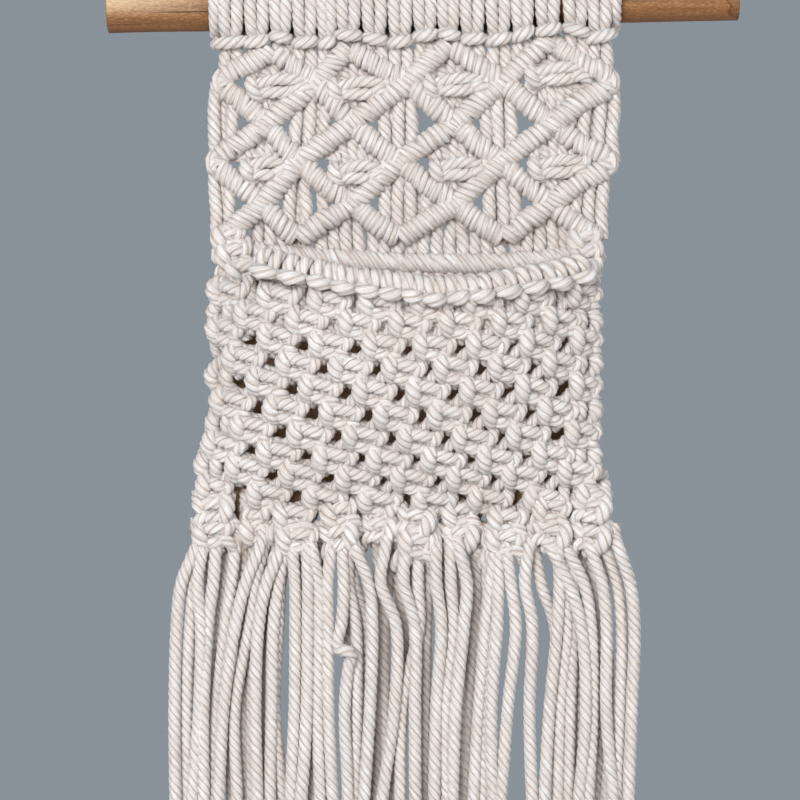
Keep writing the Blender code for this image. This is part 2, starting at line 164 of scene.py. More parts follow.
def slopes_at_knots(guide: np.ndarray, spans: np.ndarray) -> np.ndarray:
    """Finds the slope of a smooth curve at each of its guide points.

    Args:
        guide: One row a point.
        spans: Length of the curve's parameter from each point to the next.

    Returns:
        One row a point.
    """
    slopes = np.diff(guide, axis=0) / spans[:, None]
    tangents = np.empty_like(guide)
    tangents[0], tangents[-1] = slopes[0], slopes[-1]
    before, after = spans[:-1, None], spans[1:, None]
    tangents[1:-1] = (slopes[:-1] * after + slopes[1:] * before) / (before + after)
    return tangents


def smooth_run(guide: np.ndarray, step: float) -> np.ndarray:
    """Lays a smooth curve through guide points and cuts it into even steps.

    Args:
        guide: One row a point: x, y, z and any further values to carry along.
        step: Rough length of a step.

    Returns:
        The curve's points, with the further values between the guide's.
    """
    steps = np.linalg.norm(np.diff(guide[:, :3], axis=0), axis=1)
    spans = np.diff(np.concatenate([[0.0], np.cumsum(np.sqrt(np.maximum(steps, 1e-6)))]))
    tangents = slopes_at_knots(guide, spans)
    dense_count = 14
    share = np.linspace(0.0, 1.0, dense_count, endpoint=False)[:, None]
    start_weight = 2 * share**3 - 3 * share**2 + 1
    end_weight = 1 - start_weight
    start_pull = share**3 - 2 * share**2 + share
    end_pull = share**3 - share**2
    pieces = []
    for index, span in enumerate(spans):
        pieces.append(
            start_weight * guide[index]
            + end_weight * guide[index + 1]
            + span * (start_pull * tangents[index] + end_pull * tangents[index + 1])
        )
    dense = np.vstack([*pieces, guide[-1:]])
    lengths = np.linalg.norm(np.diff(dense[:, :3], axis=0), axis=1)
    travelled = np.concatenate([[0.0], np.cumsum(lengths)])
    fewest = 3
    count = max(fewest, round(travelled[-1] / step) + 1)
    stops = np.linspace(0.0, travelled[-1], count)
    columns = [np.interp(stops, travelled, dense[:, column]) for column in range(dense.shape[1])]
    return np.column_stack(columns)


class RopeWork:
    """Runs of rope that together become one piece.

    Attributes:
        stagger: How far the pattern of yarns is moved along from one run to the next, so that no two
            neighbours look the same.
    """

    stagger: float = 0.37

    def __init__(self, name: str, seed: int, rope: Rope = ROPE) -> None:
        """Starts an empty piece.

        Args:
            name: The piece's name.
            seed: Start of its own random draws.
            rope: The rope that it is laid in.
        """
        self.name = name
        self.rope = rope
        self.random = random.Random(seed)
        self.runs: list[np.ndarray] = []
        self.lengths: list[float] = []

    def jitter(self, reach: float) -> float:
        """Draws a small uneven offset, as hand knotting leaves."""
        return self.random.uniform(-reach, reach)

    def lay(self, guide: Sequence[Sequence[float]], size: float = 1.0) -> None:
        """Lays one run of rope.

        Args:
            guide: Points in millimetres, each x, y, z and, where it swells or shrinks, a share.
            size: Share of the rope's full thickness for the whole run.
        """
        rows = np.array([(*point, 1.0)[:4] for point in guide], float)
        path = smooth_run(rows, self.rope.ring)
        path[:, 3] *= size
        self.runs.append(path)
        self.lengths.append(float(np.linalg.norm(np.diff(path[:, :3], axis=0), axis=1).sum()))

    def length(self) -> float:
        """Gives the length of all its rope in metres."""
        return sum(self.lengths) * MM

    def curve(self, outline: bpy.types.Object) -> bpy.types.Object:
        """Makes the curve that holds every run.

        Args:
            outline: What the rope's cross-section follows.

        Returns:
            The curve's object.
        """
        curve = bpy.data.curves.new(self.name, "CURVE")
        curve.dimensions = "3D"
        curve.bevel_mode = "OBJECT"
        curve.bevel_object = outline
        curve.use_fill_caps = True
        curve.twist_mode = "MINIMUM"
        for run, length in zip(self.runs, self.lengths):
            spline = curve.splines.new("POLY")
            count = len(run)
            spline.points.add(count - 1)
            places = np.column_stack([run[:, :3] * MM, np.ones(count)])
            spline.points.foreach_set("co", places.astype(np.float32).ravel())
            spline.points.foreach_set("radius", (run[:, 3] * self.rope.radius).astype(np.float32))
            phase = self.random.uniform(0.0, 2 * math.pi)
            twist = phase - np.linspace(0.0, 2 * math.pi * length / self.rope.turn, count)
            spline.points.foreach_set("tilt", twist.astype(np.float32))
            spline.use_smooth = True
        return shown(self.name + "_lines", curve)

    def stretch_uv(self, mesh: bpy.types.Mesh) -> None:
        """Scales the UV map of each run, which then goes in metres along the rope and 0 to 1 round it.

        Args:
            mesh: The mesh made from the curve, with the runs' end caps first.
        """
        count = self.rope.plies * self.rope.points_a_ply
        caps = 2 * (count - 2) * len(self.runs)
        corners = np.empty(len(mesh.loops) * 2, np.float32)
        layer = mesh.uv_layers[0]
        layer.data.foreach_get("uv", corners)
        corners = corners.reshape(-1, 2)
        start = 3 * caps
        for index, (run, length) in enumerate(zip(self.runs, self.lengths)):
            stop = start + 4 * count * (len(run) - 1)
            corners[start:stop, 0] = corners[start:stop, 0] * length * MM + self.stagger * index
            start = stop
        corners[: 3 * caps] = 0.5
        layer.data.foreach_set("uv", corners.ravel())

    def piece(self) -> bpy.types.Object:
        """Makes the mesh of all its runs, closed and with a UV map along the rope.

        Returns:
            The piece.
        """
        outline = self.rope.outline()
        lines = self.curve(outline)
        bpy.context.view_layer.update()
        graph = bpy.context.evaluated_depsgraph_get()
        mesh = bpy.data.meshes.new_from_object(lines.evaluated_get(graph))
        mesh.name = self.name
        self.stretch_uv(mesh)
        for helper in (lines, outline):
            data = helper.data
            bpy.data.objects.remove(helper)
            bpy.data.curves.remove(data)
        shape = bmesh.new()
        shape.from_mesh(mesh)
        bmesh.ops.remove_doubles(shape, verts=shape.verts, dist=1e-6)
        bmesh.ops.recalc_face_normals(shape, faces=shape.faces)
        shape.to_mesh(mesh)
        shape.free()
        mesh.shade_smooth()
        return shown(self.name, mesh)


@dataclass
class Spot:
    """A place on the work with its own directions, in which a knot is laid.

    Attributes:
        origin: The place's middle.
        across: Direction to the viewer's right.
        up: Direction up the work.
        out: Direction off the work, towards the viewer.
    """

    origin: np.ndarray
    across: np.ndarray
    up: np.ndarray
    out: np.ndarray

    @classmethod
    def leaned(cls, origin: np.ndarray, lean: float) -> "Spot":
        """Makes a spot that faces the viewer.

        Args:
            origin: Its middle.
            lean: Angle in radians that it is turned anticlockwise.

        Returns:
            The spot.
        """
        cosine, sine = math.cos(lean), math.sin(lean)
        return cls(origin, np.array([cosine, 0.0, sine]), np.array([-sine, 0.0, cosine]), TO_VIEWER)

    @classmethod
    def flat(cls, across: float, height: float, off: float = 0.0, lean: float = 0.0) -> "Spot":
        """Makes a spot in the flat panel.

        Args:
            across: Its x.
            height: Its z.
            off: How far it stands off the panel's middle.
            lean: Angle in radians that it is turned anticlockwise.

        Returns:
            The spot.
        """
        return cls.leaned(np.array([across, PANEL_Y - off, height]), lean)

    def at(self, across: float, height: float, off: float) -> np.ndarray:
        """Gives the place of a point in the spot's own directions."""
        return self.origin + across * self.across + height * self.up + off * self.out

    def path(self, rows: Sequence[Sequence[float]]) -> list[tuple[float, ...]]:
        """Places rows of across, height, off and maybe a size."""
        return [(*self.at(*row[:3]), *row[3:]) for row in rows]


def seen(across: float, height: float, off: float) -> Point:
    """Finds the place that the photograph shows at a spot of the panel's plane, but nearer the viewer.

    Args:
        across: The spot's x.
        height: The spot's z.
        off: How far off the plane the place is.

    Returns:
        The place.
    """
    share = (VIEW_DISTANCE - off) / VIEW_DISTANCE
    return (
        VIEW_CENTRE[0] + (across - VIEW_CENTRE[0]) * share,
        PANEL_Y - off,
        VIEW_CENTRE[1] + (height - VIEW_CENTRE[1]) * share,
    )


# ---------------------------------------------------------------------------- knots


class KnotShape(Enum):
    """Square knots as they lie in the work, each a set of runs of rope.

    The first run crosses in front to the right and comes back to the left. The second comes from the
    upper right, goes behind, stands up at the left over both crossings, goes behind again and leaves at
    the right. The rest are the fillers. Each row is across, height, off and maybe a size, from the knot's
    middle.
    """

    NET = (
        (
            (-7.4, 7.6, -2.6, 0.90),
            (-7.0, 4.8, -2.0, 0.90),
            (-5.4, 3.2, -0.4, 0.94),
            (-3.0, 3.0, 1.6, 0.97),
            (-0.2, 3.4, 2.9, 0.97),
            (2.8, 3.3, 2.7, 0.97),
            (5.0, 2.7, 1.0, 0.92),
            (5.8, 1.2, -0.8, 0.86),
            (5.4, -0.6, -1.2, 0.86),
            (4.2, -2.0, 0.2, 0.90),
            (2.2, -2.7, 1.9, 0.94),
            (-0.4, -2.4, 2.6, 0.96),
            (-3.0, -2.1, 1.5, 0.94),
            (-5.4, -2.7, 0.0, 0.90),
            (-7.6, -4.8, 0.0, 0.88),
            (-9.4, -7.1, -1.0, 0.88),
            (-10.0, -9.2, -2.6, 0.88),
        ),
        (
            (7.4, 7.6, -2.2, 0.88),
            (7.0, 5.0, 0.1, 0.92),
            (6.8, 3.0, 2.0, 0.95),
            (5.9, 1.5, 2.2, 0.93),
            (4.6, 0.7, 0.4, 0.86),
            (2.6, 0.4, -2.0, 0.86),
            (0.0, 0.4, -2.9, 0.86),
            (-3.0, 2.2, -2.6, 0.86),
            (-4.2, 4.4, -1.2, 0.90),
            (-5.2, 4.7, 0.9, 1.02),
            (-6.0, 3.0, 3.0, 1.18),
            (-5.6, 0.6, 3.8, 1.26),
            (-4.6, -1.8, 3.2, 1.16),
            (-3.4, -3.8, 1.1, 0.96),
            (-2.4, -3.6, -1.6, 0.86),
            (0.4, -1.8, -2.6, 0.86),
            (3.0, -1.0, -1.2, 0.86),
            (4.2, -1.6, 1.0, 0.90),
            (5.3, -2.0, 2.5, 0.95),
            (6.6, -2.7, 2.1, 0.93),
            (7.6, -4.6, 0.1, 0.88),
            (8.8, -7.6, -2.4, 0.86),
        ),
        ((-2.2, 6.0, -1.8, 0.9), (-1.6, 3.0, -0.4, 0.9), (-1.6, -3.0, -0.4, 0.9), (-3.0, -6.4, -1.8, 0.9)),
        ((1.4, 6.0, -2.0, 0.9), (1.6, 3.0, -0.4, 0.9), (1.6, -3.0, -0.4, 0.9), (2.2, -6.4, -1.8, 0.9)),
    )
    LENS = (
        (
            (-7.6, 9.0, -3.0),
            (-9.4, 4.6, -1.4),
            (-8.2, 1.5, 0.6),
            (-5.0, 1.9, 2.4),
            (-0.5, 2.8, 3.1, 1.03),
            (4.5, 2.9, 2.7, 1.03),
            (8.6, 2.2, 1.2, 0.94),
            (11.5, 2.0, -1.0, 0.90),
            (10.4, 0.2, -2.0, 0.90),
            (7.6, -0.8, -0.8, 0.90),
            (5.6, -1.7, 1.2, 0.95),
            (2.5, -2.2, 2.7, 1.03),
            (-1.5, -2.0, 3.1, 1.03),
            (-5.5, -1.6, 1.7, 0.97),
            (-8.5, -1.2, 0.6, 0.92),
            (-10.4, -3.2, -0.6, 0.90),
            (-9.0, -7.6, -3.0, 0.90),
        ),
        (
            (10.5, 8.0, -3.0, 0.90),
            (12.4, 4.2, -0.8, 0.92),
            (11.8, 2.0, 0.6, 0.92),
            (8.4, 0.6, -1.4, 0.90),
            (3.0, 0.5, -2.8, 0.90),
            (-3.0, 1.0, -2.9, 0.90),
            (-7.5, 2.8, -1.2, 0.92),
            (-9.5, 3.3, 0.9, 1.00),
            (-10.0, 1.7, 3.0, 1.12),
            (-9.4, -0.4, 3.5, 1.16),
            (-8.4, -2.4, 2.4, 1.06),
            (-7.0, -3.5, 0.2, 0.90),
            (-4.4, -3.0, -2.0, 0.88),
            (2.0, -2.0, -2.6, 0.90),
            (5.2, -1.6, 0.0, 0.92),
            (7.4, -1.0, 2.3, 0.97),
            (10.0, -1.1, 2.3, 0.97),
            (12.2, -2.8, 0.4, 0.92),
            (11.2, -7.0, -3.0, 0.90),
        ),
    )


@dataclass
class SquareKnot:
    """A square knot, its upright loop on the left.

    Attributes:
        shape: How its ropes lie.
        wide: Its width as a share of the shape's.
        high: Its height as a share of the shape's.
        depth: How far it stands out as a share of the shape's.
        mirrored: Whether the upright loop is on the right.
        size: Share of the rope's thickness.
        unevenness: How far each point strays.
        lean: Angle in radians that its middle is turned anticlockwise, while its ends stay.
        still: Distance above and under its middle from which its ropes aren't turned.
        room: How far left and right of its middle its ropes may lie.
    """

    shape: KnotShape = KnotShape.NET
    wide: float = 1.0
    high: float = 1.0
    depth: float = 1.0
    mirrored: bool = False
    size: float = 1.0
    unevenness: float = 0.22
    lean: float = 0.0
    still: float = 9.0
    room: tuple[float, float] = (-FREE, FREE)

    def lay(self, work: RopeWork, spot: Spot) -> None:
        """Lays the knot's ropes.

        Args:
            work: The piece that it goes into.
            spot: Its middle.
        """
        side = -self.wide if self.mirrored else self.wide
        for run in self.shape.value:
            rows = []
            for across, height, off, *size in run:
                turn = self.lean * max(0.0, 1.0 - (height / self.still) ** 2)
                cosine, sine = math.cos(turn), math.sin(turn)
                across, height = across * cosine - height * sine, across * sine + height * cosine
                place = side * (across + work.jitter(self.unevenness))
                rows.append((
                    min(max(place, self.room[0]), self.room[1]),
                    self.high * (height + work.jitter(self.unevenness)),
                    self.depth * (off + work.jitter(self.unevenness)),
                    *size,
                ))
            work.lay(spot.path(rows), self.size)


def place_along(line: np.ndarray, lengths: np.ndarray, along: float) -> np.ndarray:
    """Gives the place at a length along a line, or its nearer end past either of them.

    Args:
        line: Points along the line.
        lengths: How far along the line each of them is.
        along: The length.

    Returns:
        The place.
    """
    return np.array([np.interp(along, lengths, line[:, axis]) for axis in range(3)])


@dataclass
class HitchedBar:
    """A bar of double half hitches round a carried cord.

    Attributes:
        pitch: Length of bar that one turn takes.
        reach: From the bar's axis to the axis of the rope round it.
        size: Share of the rope's thickness, as it is pulled tight.
        turns: Turns in one hitch.
        lean: How much further along the bar the rope is at its lower side.
        overlap: Turns that the rope really goes, as a share of those that its length of bar holds.
        start: Where it starts behind the bar, in half turns before the bar's front.
        tuck: Share of the reach at both ends of a hitch, which go in under the next.
        edge: Reach at the bar's upper and lower edge as a share of that in front, where it lies flatter.
        spreads: How much the reach, the lean and the size stray from one hitch to the next.
        points_a_turn: Guide points in one turn.
    """

    pitch: float = 2.95
    reach: float = 2.9
    size: float = 0.73
    turns: float = 2.0
    lean: float = 0.2
    overlap: float = 1.05
    start: float = 1.02
    tuck: float = 0.45
    edge: float = 1.04
    spreads: tuple[float, float, float] = (0.09, 0.7, 0.04)
    points_a_turn: int = 9

    def lay(self, work: RopeWork, axis: Sequence[Point]) -> None:
        """Lays the hitches one after another along the bar.

        Args:
            work: The piece that they go into.
            axis: Points along the bar's middle.
        """
        line = smooth_run(np.array(axis, float), 0.5)
        lengths = np.concatenate([[0.0], np.cumsum(np.linalg.norm(np.diff(line, axis=0), axis=1))])
        count = max(1, round(lengths[-1] / (self.turns * self.pitch)))
        step = lengths[-1] / count
        for hitch in range(count):
            self.lay_hitch(work, line, lengths, hitch * step, step)

    def lay_hitch(
        self, work: RopeWork, line: np.ndarray, lengths: np.ndarray, start: float, step: float
    ) -> None:
        """Lays one hitch.

        Args:
            work: The piece that it goes into.
            line: Points along the bar's middle.
            lengths: How far along the bar each of them is.
            start: Where along the bar the hitch begins.
            step: Length of bar that it takes.
        """
        reach = self.reach * (1.0 + work.jitter(self.spreads[0]))
        slant = self.lean + work.jitter(self.spreads[1])
        count = round(self.turns * self.points_a_turn) + 2
        nearby = 0.6
        rows = []
        for index in range(count + 1):
            share = index / count
            angle = 2 * math.pi * self.turns * share * self.overlap - math.pi * self.start
            along = start + step * share + slant * math.sin(angle)
            along = min(max(along, 0.0), lengths[-1])
            middle = place_along(line, lengths, along)
            tangent = place_along(line, lengths, along + nearby) - place_along(line, lengths, along - nearby)
            tangent /= np.linalg.norm(tangent)
            out = TO_VIEWER + tangent[1] * tangent
            out /= np.linalg.norm(out)
            aside = np.cross(tangent, out)
            tuck = self.tuck if index in (0, count) else 1.0
            off = reach * tuck * (math.cos(angle) * out + self.edge * math.sin(angle) * aside)
            rows.append(tuple(middle + off))
        work.lay(rows, self.size * (1.0 + work.jitter(self.spreads[2])))


@dataclass
class LarksHead:
    """A cord hung on a bar by its middle, with the bar of the head in front.

    Attributes:
        carrier: Radius of what it hangs on.
        half: From the head's middle to the middle of each loop.
        width: Half the width of the bar across its front.
        bar_height: Height of that bar's middle under the carrier's middle.
        tails: How far down its two ends reach.
        size: Share of the rope's thickness.
        gap: Room between the carrier and the rope's axis, in rope radii.
        tails_behind: Whether its ends turn in behind it.
        fullness: Thickness of the front bar's middle as a share of the rope's.
        stand: From the rope round the carrier to the bar in front of it, in rope radii.
    """

    carrier: float
    half: float
    width: float
    bar_height: float
    tails: tuple[float, float]
    size: float = 1.0
    gap: float = 1.0
    tails_behind: bool = False
    fullness: float = 1.0
    stand: float = 1.75

    def lay(self, work: RopeWork, spot: Spot, deeper: float = 0.0, lean: float = 0.0) -> None:
        """Lays the head.

        Args:
            work: The piece that it goes into.
            spot: The carrier's middle at the head's middle.
            deeper: How far the front bar is pushed out.
            lean: How much higher the front bar's right end is.
        """
        thickness = work.rope.radius * self.size
        reach = self.carrier + thickness * self.gap
        front = reach + thickness * self.stand + deeper
        back = front - work.rope.radius * 2.4
        drop = self.bar_height
        under = 0.4 * drop - 0.6 * reach * 0.98
        # Share of the width, share of the lean, height, distance in front and size, from the middle out.
        right_half = (
            (0.46, 0.4, drop - 0.3, front + 0.1, 0.97),
            (0.88, 0.9, drop, front - 1.4, 0.86),
            (1.04, 1.1, drop, back, 0.70),
            (0.92, 0.5, under, 0.5 * back, 0.74),
        )
        sides = []
        for side in (-1.0, 1.0):
            sides.append([
                (side * out * self.width, height + side * tip * lean, off, size)
                for out, tip, height, off, size in right_half
            ])
        rows = [
            *self.loop(work, -1.0, reach, self.tails[0]),
            *sides[0][::-1],
            (0.0, drop - 0.4, front + 0.5, self.fullness),
            *sides[1],
            *self.loop(work, 1.0, reach, self.tails[1])[::-1],
        ]
        work.lay(spot.path(rows), self.size)

    def loop(self, work: RopeWork, side: float, reach: float, tail: float) -> list[tuple[float, ...]]:
        """Gives the rows of one end: up in front, over the carrier, and down behind it.

        Args:
            work: The piece, for its random draws.
            side: -1 for the left loop, 1 for the right one.
            reach: From the carrier's middle to the rope's.
            tail: Height at which the end stops.

        Returns:
            Rows of across, height and off, from the end's tip to under the carrier.
        """
        place = side * (self.half + work.jitter(0.12))
        pinched = (0.68 * place, self.bar_height + 1.6, reach * 0.88, 0.86)
        if self.tails_behind:
            rows: list[tuple[float, ...]] = [(place, tail, -0.4 * reach), pinched]
        else:
            rows = [(place + work.jitter(0.6), tail, reach * 0.98)]
            if tail < 1.6 * self.bar_height:
                rows.append((place + work.jitter(0.3), 0.5 * (tail + self.bar_height), reach * 0.98))
            rows.append(pinched)
        rows.append((0.90 * place, 0.58 * self.bar_height, reach * 0.99, 0.95))
        for degrees in (0, 30, 60, 90, 125, 160, 195, 228):
            angle = math.radians(degrees)
            rows.append((place, reach * math.sin(angle), reach * math.cos(angle)))
        return rows


# ---------------------------------------------------------------------------- materials


class Term:
    """A number socket of a node tree, with Python's operators."""

    def __init__(self, tree: bpy.types.NodeTree, socket: bpy.types.NodeSocket) -> None:
        """Wraps a socket of a tree."""
        self.tree = tree
        self.socket = socket

    def maths(self, operation: str, *values: "Term | float", clamp: bool = False) -> "Term":
        """Adds a Math node.

        Args:
            operation: The node's operation.
            values: What goes into its sockets, in order.
            clamp: Whether the result stays between 0 and 1.

        Returns:
            The node's result.
        """
        node = self.tree.nodes.new("ShaderNodeMath")
        node.operation = operation
        node.use_clamp = clamp
        for socket, value in zip(node.inputs, values):
            if isinstance(value, Term):
                self.tree.links.new(value.socket, socket)
            else:
                socket.default_value = value
        return Term(self.tree, node.outputs[0])

    def __add__(self, other: "Term | float") -> "Term":
        """Adds."""
        return self.maths("ADD", self, other)

    def __radd__(self, other: float) -> "Term":
        """Adds to a number."""
        return self.maths("ADD", other, self)

    def __sub__(self, other: "Term | float") -> "Term":
        """Subtracts."""
        return self.maths("SUBTRACT", self, other)

    def __rsub__(self, other: float) -> "Term":
        """Subtracts from a number."""
        return self.maths("SUBTRACT", other, self)

    def __mul__(self, other: "Term | float") -> "Term":
        """Multiplies."""
        return self.maths("MULTIPLY", self, other)

    def __rmul__(self, other: float) -> "Term":
        """Multiplies a number."""
        return self.maths("MULTIPLY", other, self)

    def __abs__(self) -> "Term":
        """Takes the sign away."""
        return self.maths("ABSOLUTE", self)

    def between(self, low: float, high: float) -> "Term":
        """Gives 0 at the low value, 1 at the high one and no more than that outside them."""
        return self.maths("MULTIPLY", self - low, 1.0 / (high - low), clamp=True)


class Recipe:
    """A material's node tree while it is made."""

    def __init__(self, name: str) -> None:
        """Starts a material with a Principled shader.

        Args:
            name: The material's name.
        """
        self.material = bpy.data.materials.new(name)
        self.material.use_nodes = True
        self.tree = self.material.node_tree
        self.shader = self.tree.nodes["Principled BSDF"]

    def node(
        self, kind: str, settings: dict[str, object] | None = None, **inputs: object
    ) -> bpy.types.Node:
        """Adds any node.

        Args:
            kind: The node's type.
            settings: Its properties.
            inputs: Values, terms or sockets by socket name, with _ for a space.

        Returns:
            The node.
        """
        node = self.tree.nodes.new(kind)
        for name, value in (settings or {}).items():
            setattr(node, name, value)
        self.fill(node, **inputs)
        return node

    def fill(self, node: bpy.types.Node, **inputs: object) -> None:
        """Feeds a node's sockets.

        Args:
            node: The node.
            inputs: Values, terms or sockets by socket name, with _ for a space.
        """
        for name, value in inputs.items():
            self.feed(node.inputs[name.replace("_", " ")], value)

    def feed(self, socket: bpy.types.NodeSocket, value: object) -> None:
        """Links or sets a socket.

        Args:
            socket: The socket that is fed.
            value: A term, another socket, or a plain value.
        """
        if isinstance(value, Term):
            self.tree.links.new(value.socket, socket)
        elif isinstance(value, bpy.types.NodeSocket):
            self.tree.links.new(value, socket)
        else:
            socket.default_value = value

    def term(self, socket: bpy.types.NodeSocket) -> Term:
        """Wraps a number socket."""
        return Term(self.tree, socket)

    def parts(self, vector: bpy.types.NodeSocket) -> tuple[Term, ...]:
        """Splits a vector into x, y and z."""
        node = self.node("ShaderNodeSeparateXYZ", Vector=vector)
        return tuple(self.term(socket) for socket in node.outputs)

    def noise(
        self,
        place: bpy.types.NodeSocket,
        scale: float,
        detail: float,
        roughness: float = 0.5,
        flat: bool = False,
    ) -> Term:
        """Adds a noise.

        Args:
            place: The vector at which it is read.
            scale: How fine it is.
            detail: How many finer layers it has.
            roughness: How strong those are.
            flat: Whether it reads only x and y.

        Returns:
            Its strength, about a half on average.
        """
        settings = {"noise_dimensions": "2D" if flat else "3D"}
        node = self.node(
            "ShaderNodeTexNoise", settings, Vector=place, Scale=scale, Detail=detail, Roughness=roughness
        )
        return self.term(node.outputs["Fac"])

    def grain(self, place: bpy.types.NodeSocket, along: float, across: float, **shape: float) -> Term:
        """Adds a noise that is drawn out along X.

        Args:
            place: The vector at which it is read.
            along: How fine it is along X.
            across: How fine it is across X.
            shape: The noise's detail and roughness.

        Returns:
            Its strength, about a half on average.
        """
        drawn = self.node("ShaderNodeMapping", Vector=place, Scale=(along, across, across))
        return self.noise(drawn.outputs[0], 1.0, **shape)

    def relief(self, strength: float, height: Term) -> bpy.types.NodeSocket:
        """Turns a height in metres into a normal."""
        bump = self.node("ShaderNodeBump", Strength=strength, Distance=1.0, Height=height)
        return bump.outputs["Normal"]

    def blend(self, share: Term, first: object, second: object) -> bpy.types.NodeSocket:
        """Mixes two colours.

        Args:
            share: How much of the second shows.
            first: A colour socket or three numbers.
            second: A colour socket or three numbers.

        Returns:
            The mixed colour.
        """
        node = self.tree.nodes.new("ShaderNodeMix")
        node.data_type = "RGBA"
        self.feed(node.inputs["Factor"], share)
        for socket, colour in ((node.inputs[6], first), (node.inputs[7], second)):
            if isinstance(colour, bpy.types.NodeSocket):
                self.tree.links.new(colour, socket)
            else:
                socket.default_value = (*colour, 1.0)
        return node.outputs[2]


def linear(red: float, green: float, blue: float) -> Colour:
    """Turns a display colour of 0 to 255 into the linear one that shaders use.

    Args:
        red: Its red.
        green: Its green.
        blue: Its blue.

    Returns:
        The linear colour.
    """
    def channel(value: float) -> float:
        """Turns one channel."""
        share = value / 255.0
        return share / 12.92 if share <= 0.04045 else ((share + 0.055) / 1.055) ** 2.4

    return channel(red), channel(green), channel(blue)


@dataclass(frozen=True)
class CottonRope:
    """Natural cotton rope: plies in cream with fuzz, and warm painted shade in their grooves and in fine
    lines between the yarns.

    Attributes:
        cream: Colour of the cotton.
        pale: Colour of its lightest fibres.
        groove: Colour of the painted shade between the plies and between the yarns.
        pocket_shade: Colour of the painted shade that covers what lies inside the pocket.
        through: Colour of the painted glow that the cotton inside the pocket gives off, standing in for warm
            light that comes through the cotton.
        roughness: How matt it is.
        yarns: How fine the yarns are along the rope and round it.
        front: In metres, as the other limits: where the pocket's inside begins behind its front.
        back: Where it ends in the strands behind the pocket.
        top: Where it begins under the mouth.
        left: Where it begins at the left.
        right: Where it ends at the right.
        low: Between which heights the painted shade grows weaker towards the bottom.
        floor: Between which heights the painted glow ends at the bottom.
    """

    cream: Colour = linear(214, 202, 190)
    pale: Colour = linear(237, 231, 226)
    groove: Colour = linear(138, 102, 68)
    pocket_shade: Colour = linear(150, 118, 88)
    through: Colour = (0.020, 0.0115, 0.0065)
    roughness: float = 0.92
    yarns: tuple[float, float] = (120.0, 46.0)
    front: tuple[float, float] = (-0.0178, -0.0158)
    back: tuple[float, float] = (-0.0100, -0.0122)
    top: tuple[float, float] = (-0.112, -0.124)
    left: tuple[float, float] = (-0.086, -0.080)
    right: tuple[float, float] = (0.070, 0.064)
    low: tuple[float, float] = (-0.232, -0.216)
    floor: tuple[float, float] = (-0.212, -0.206)

    def material(self) -> bpy.types.Material:
        """Makes the material.

        Returns:
            The material.
        """
        recipe = Recipe("natural_cotton_rope")
        places = recipe.node("ShaderNodeTexCoord")
        along, around, _ = recipe.parts(places.outputs["UV"])
        ply = around * float(ROPE.plies)
        in_ply = ply.maths("FRACT", ply)
        crest = 1.0 - abs(in_ply - 0.5) * 2.0
        groove = 1.0 - crest.between(0.0, 0.42)
        drawn = recipe.node("ShaderNodeCombineXYZ", X=along * self.yarns[0], Y=around * self.yarns[1])
        yarn = recipe.noise(drawn.outputs[0], 1.0, 2.0, roughness=0.55, flat=True)
        hair = recipe.noise(places.outputs["Object"], 1500.0, 2.0)
        tone = recipe.noise(places.outputs["Object"], 55.0, 3.0)
        line = 1.0 - abs(yarn - 0.5).between(0.0, 0.05)
        lightness = (yarn * 0.8 + hair * 0.5 + tone * 0.4).between(0.62, 1.08)
        colour = recipe.blend(lightness, self.cream, self.pale)
        # Painted shade: the grooves between the plies and the fine lines between the yarns are painted
        # darker and browner; where the yarn noise is low the cotton is also darker at random.
        dark = groove * 0.60 + line * 0.30 + (0.5 - yarn).between(0.0, 0.20) * 0.38
        colour = recipe.blend(dark.between(0.0, 1.3), colour, self.groove)
        # Painted shade: inside the pocket and between the two layers of ends the cotton is painted deeper
        # and browner.
        across, depth, height = recipe.parts(places.outputs["Object"])
        inside = depth.between(*self.front) * depth.between(*self.back)
        inside = inside * height.between(*self.top)
        inside = inside * across.between(*self.left) * across.between(*self.right)
        share = inside * (0.20 + 0.70 * height.between(*self.low))
        recipe.fill(
            recipe.shader,
            Base_Color=recipe.blend(share, colour, self.pocket_shade),
            # Painted glow: the cotton inside the pocket, above its bottom, gives off a faint warm light of
            # its own.
            Emission_Color=recipe.blend(inside * height.between(*self.floor), (0.0, 0.0, 0.0), self.through),
            Emission_Strength=1.0,
            Normal=recipe.relief(0.75, yarn * 0.0007 + hair * 0.0003 - groove * 0.0002 - line * 0.00012),
            Roughness=self.roughness,
            Specular_IOR_Level=0.15,
            Sheen_Weight=0.12,
            Sheen_Roughness=0.6,
        )
        recipe.material.diffuse_color = (*self.cream, 1.0)
        return recipe.material


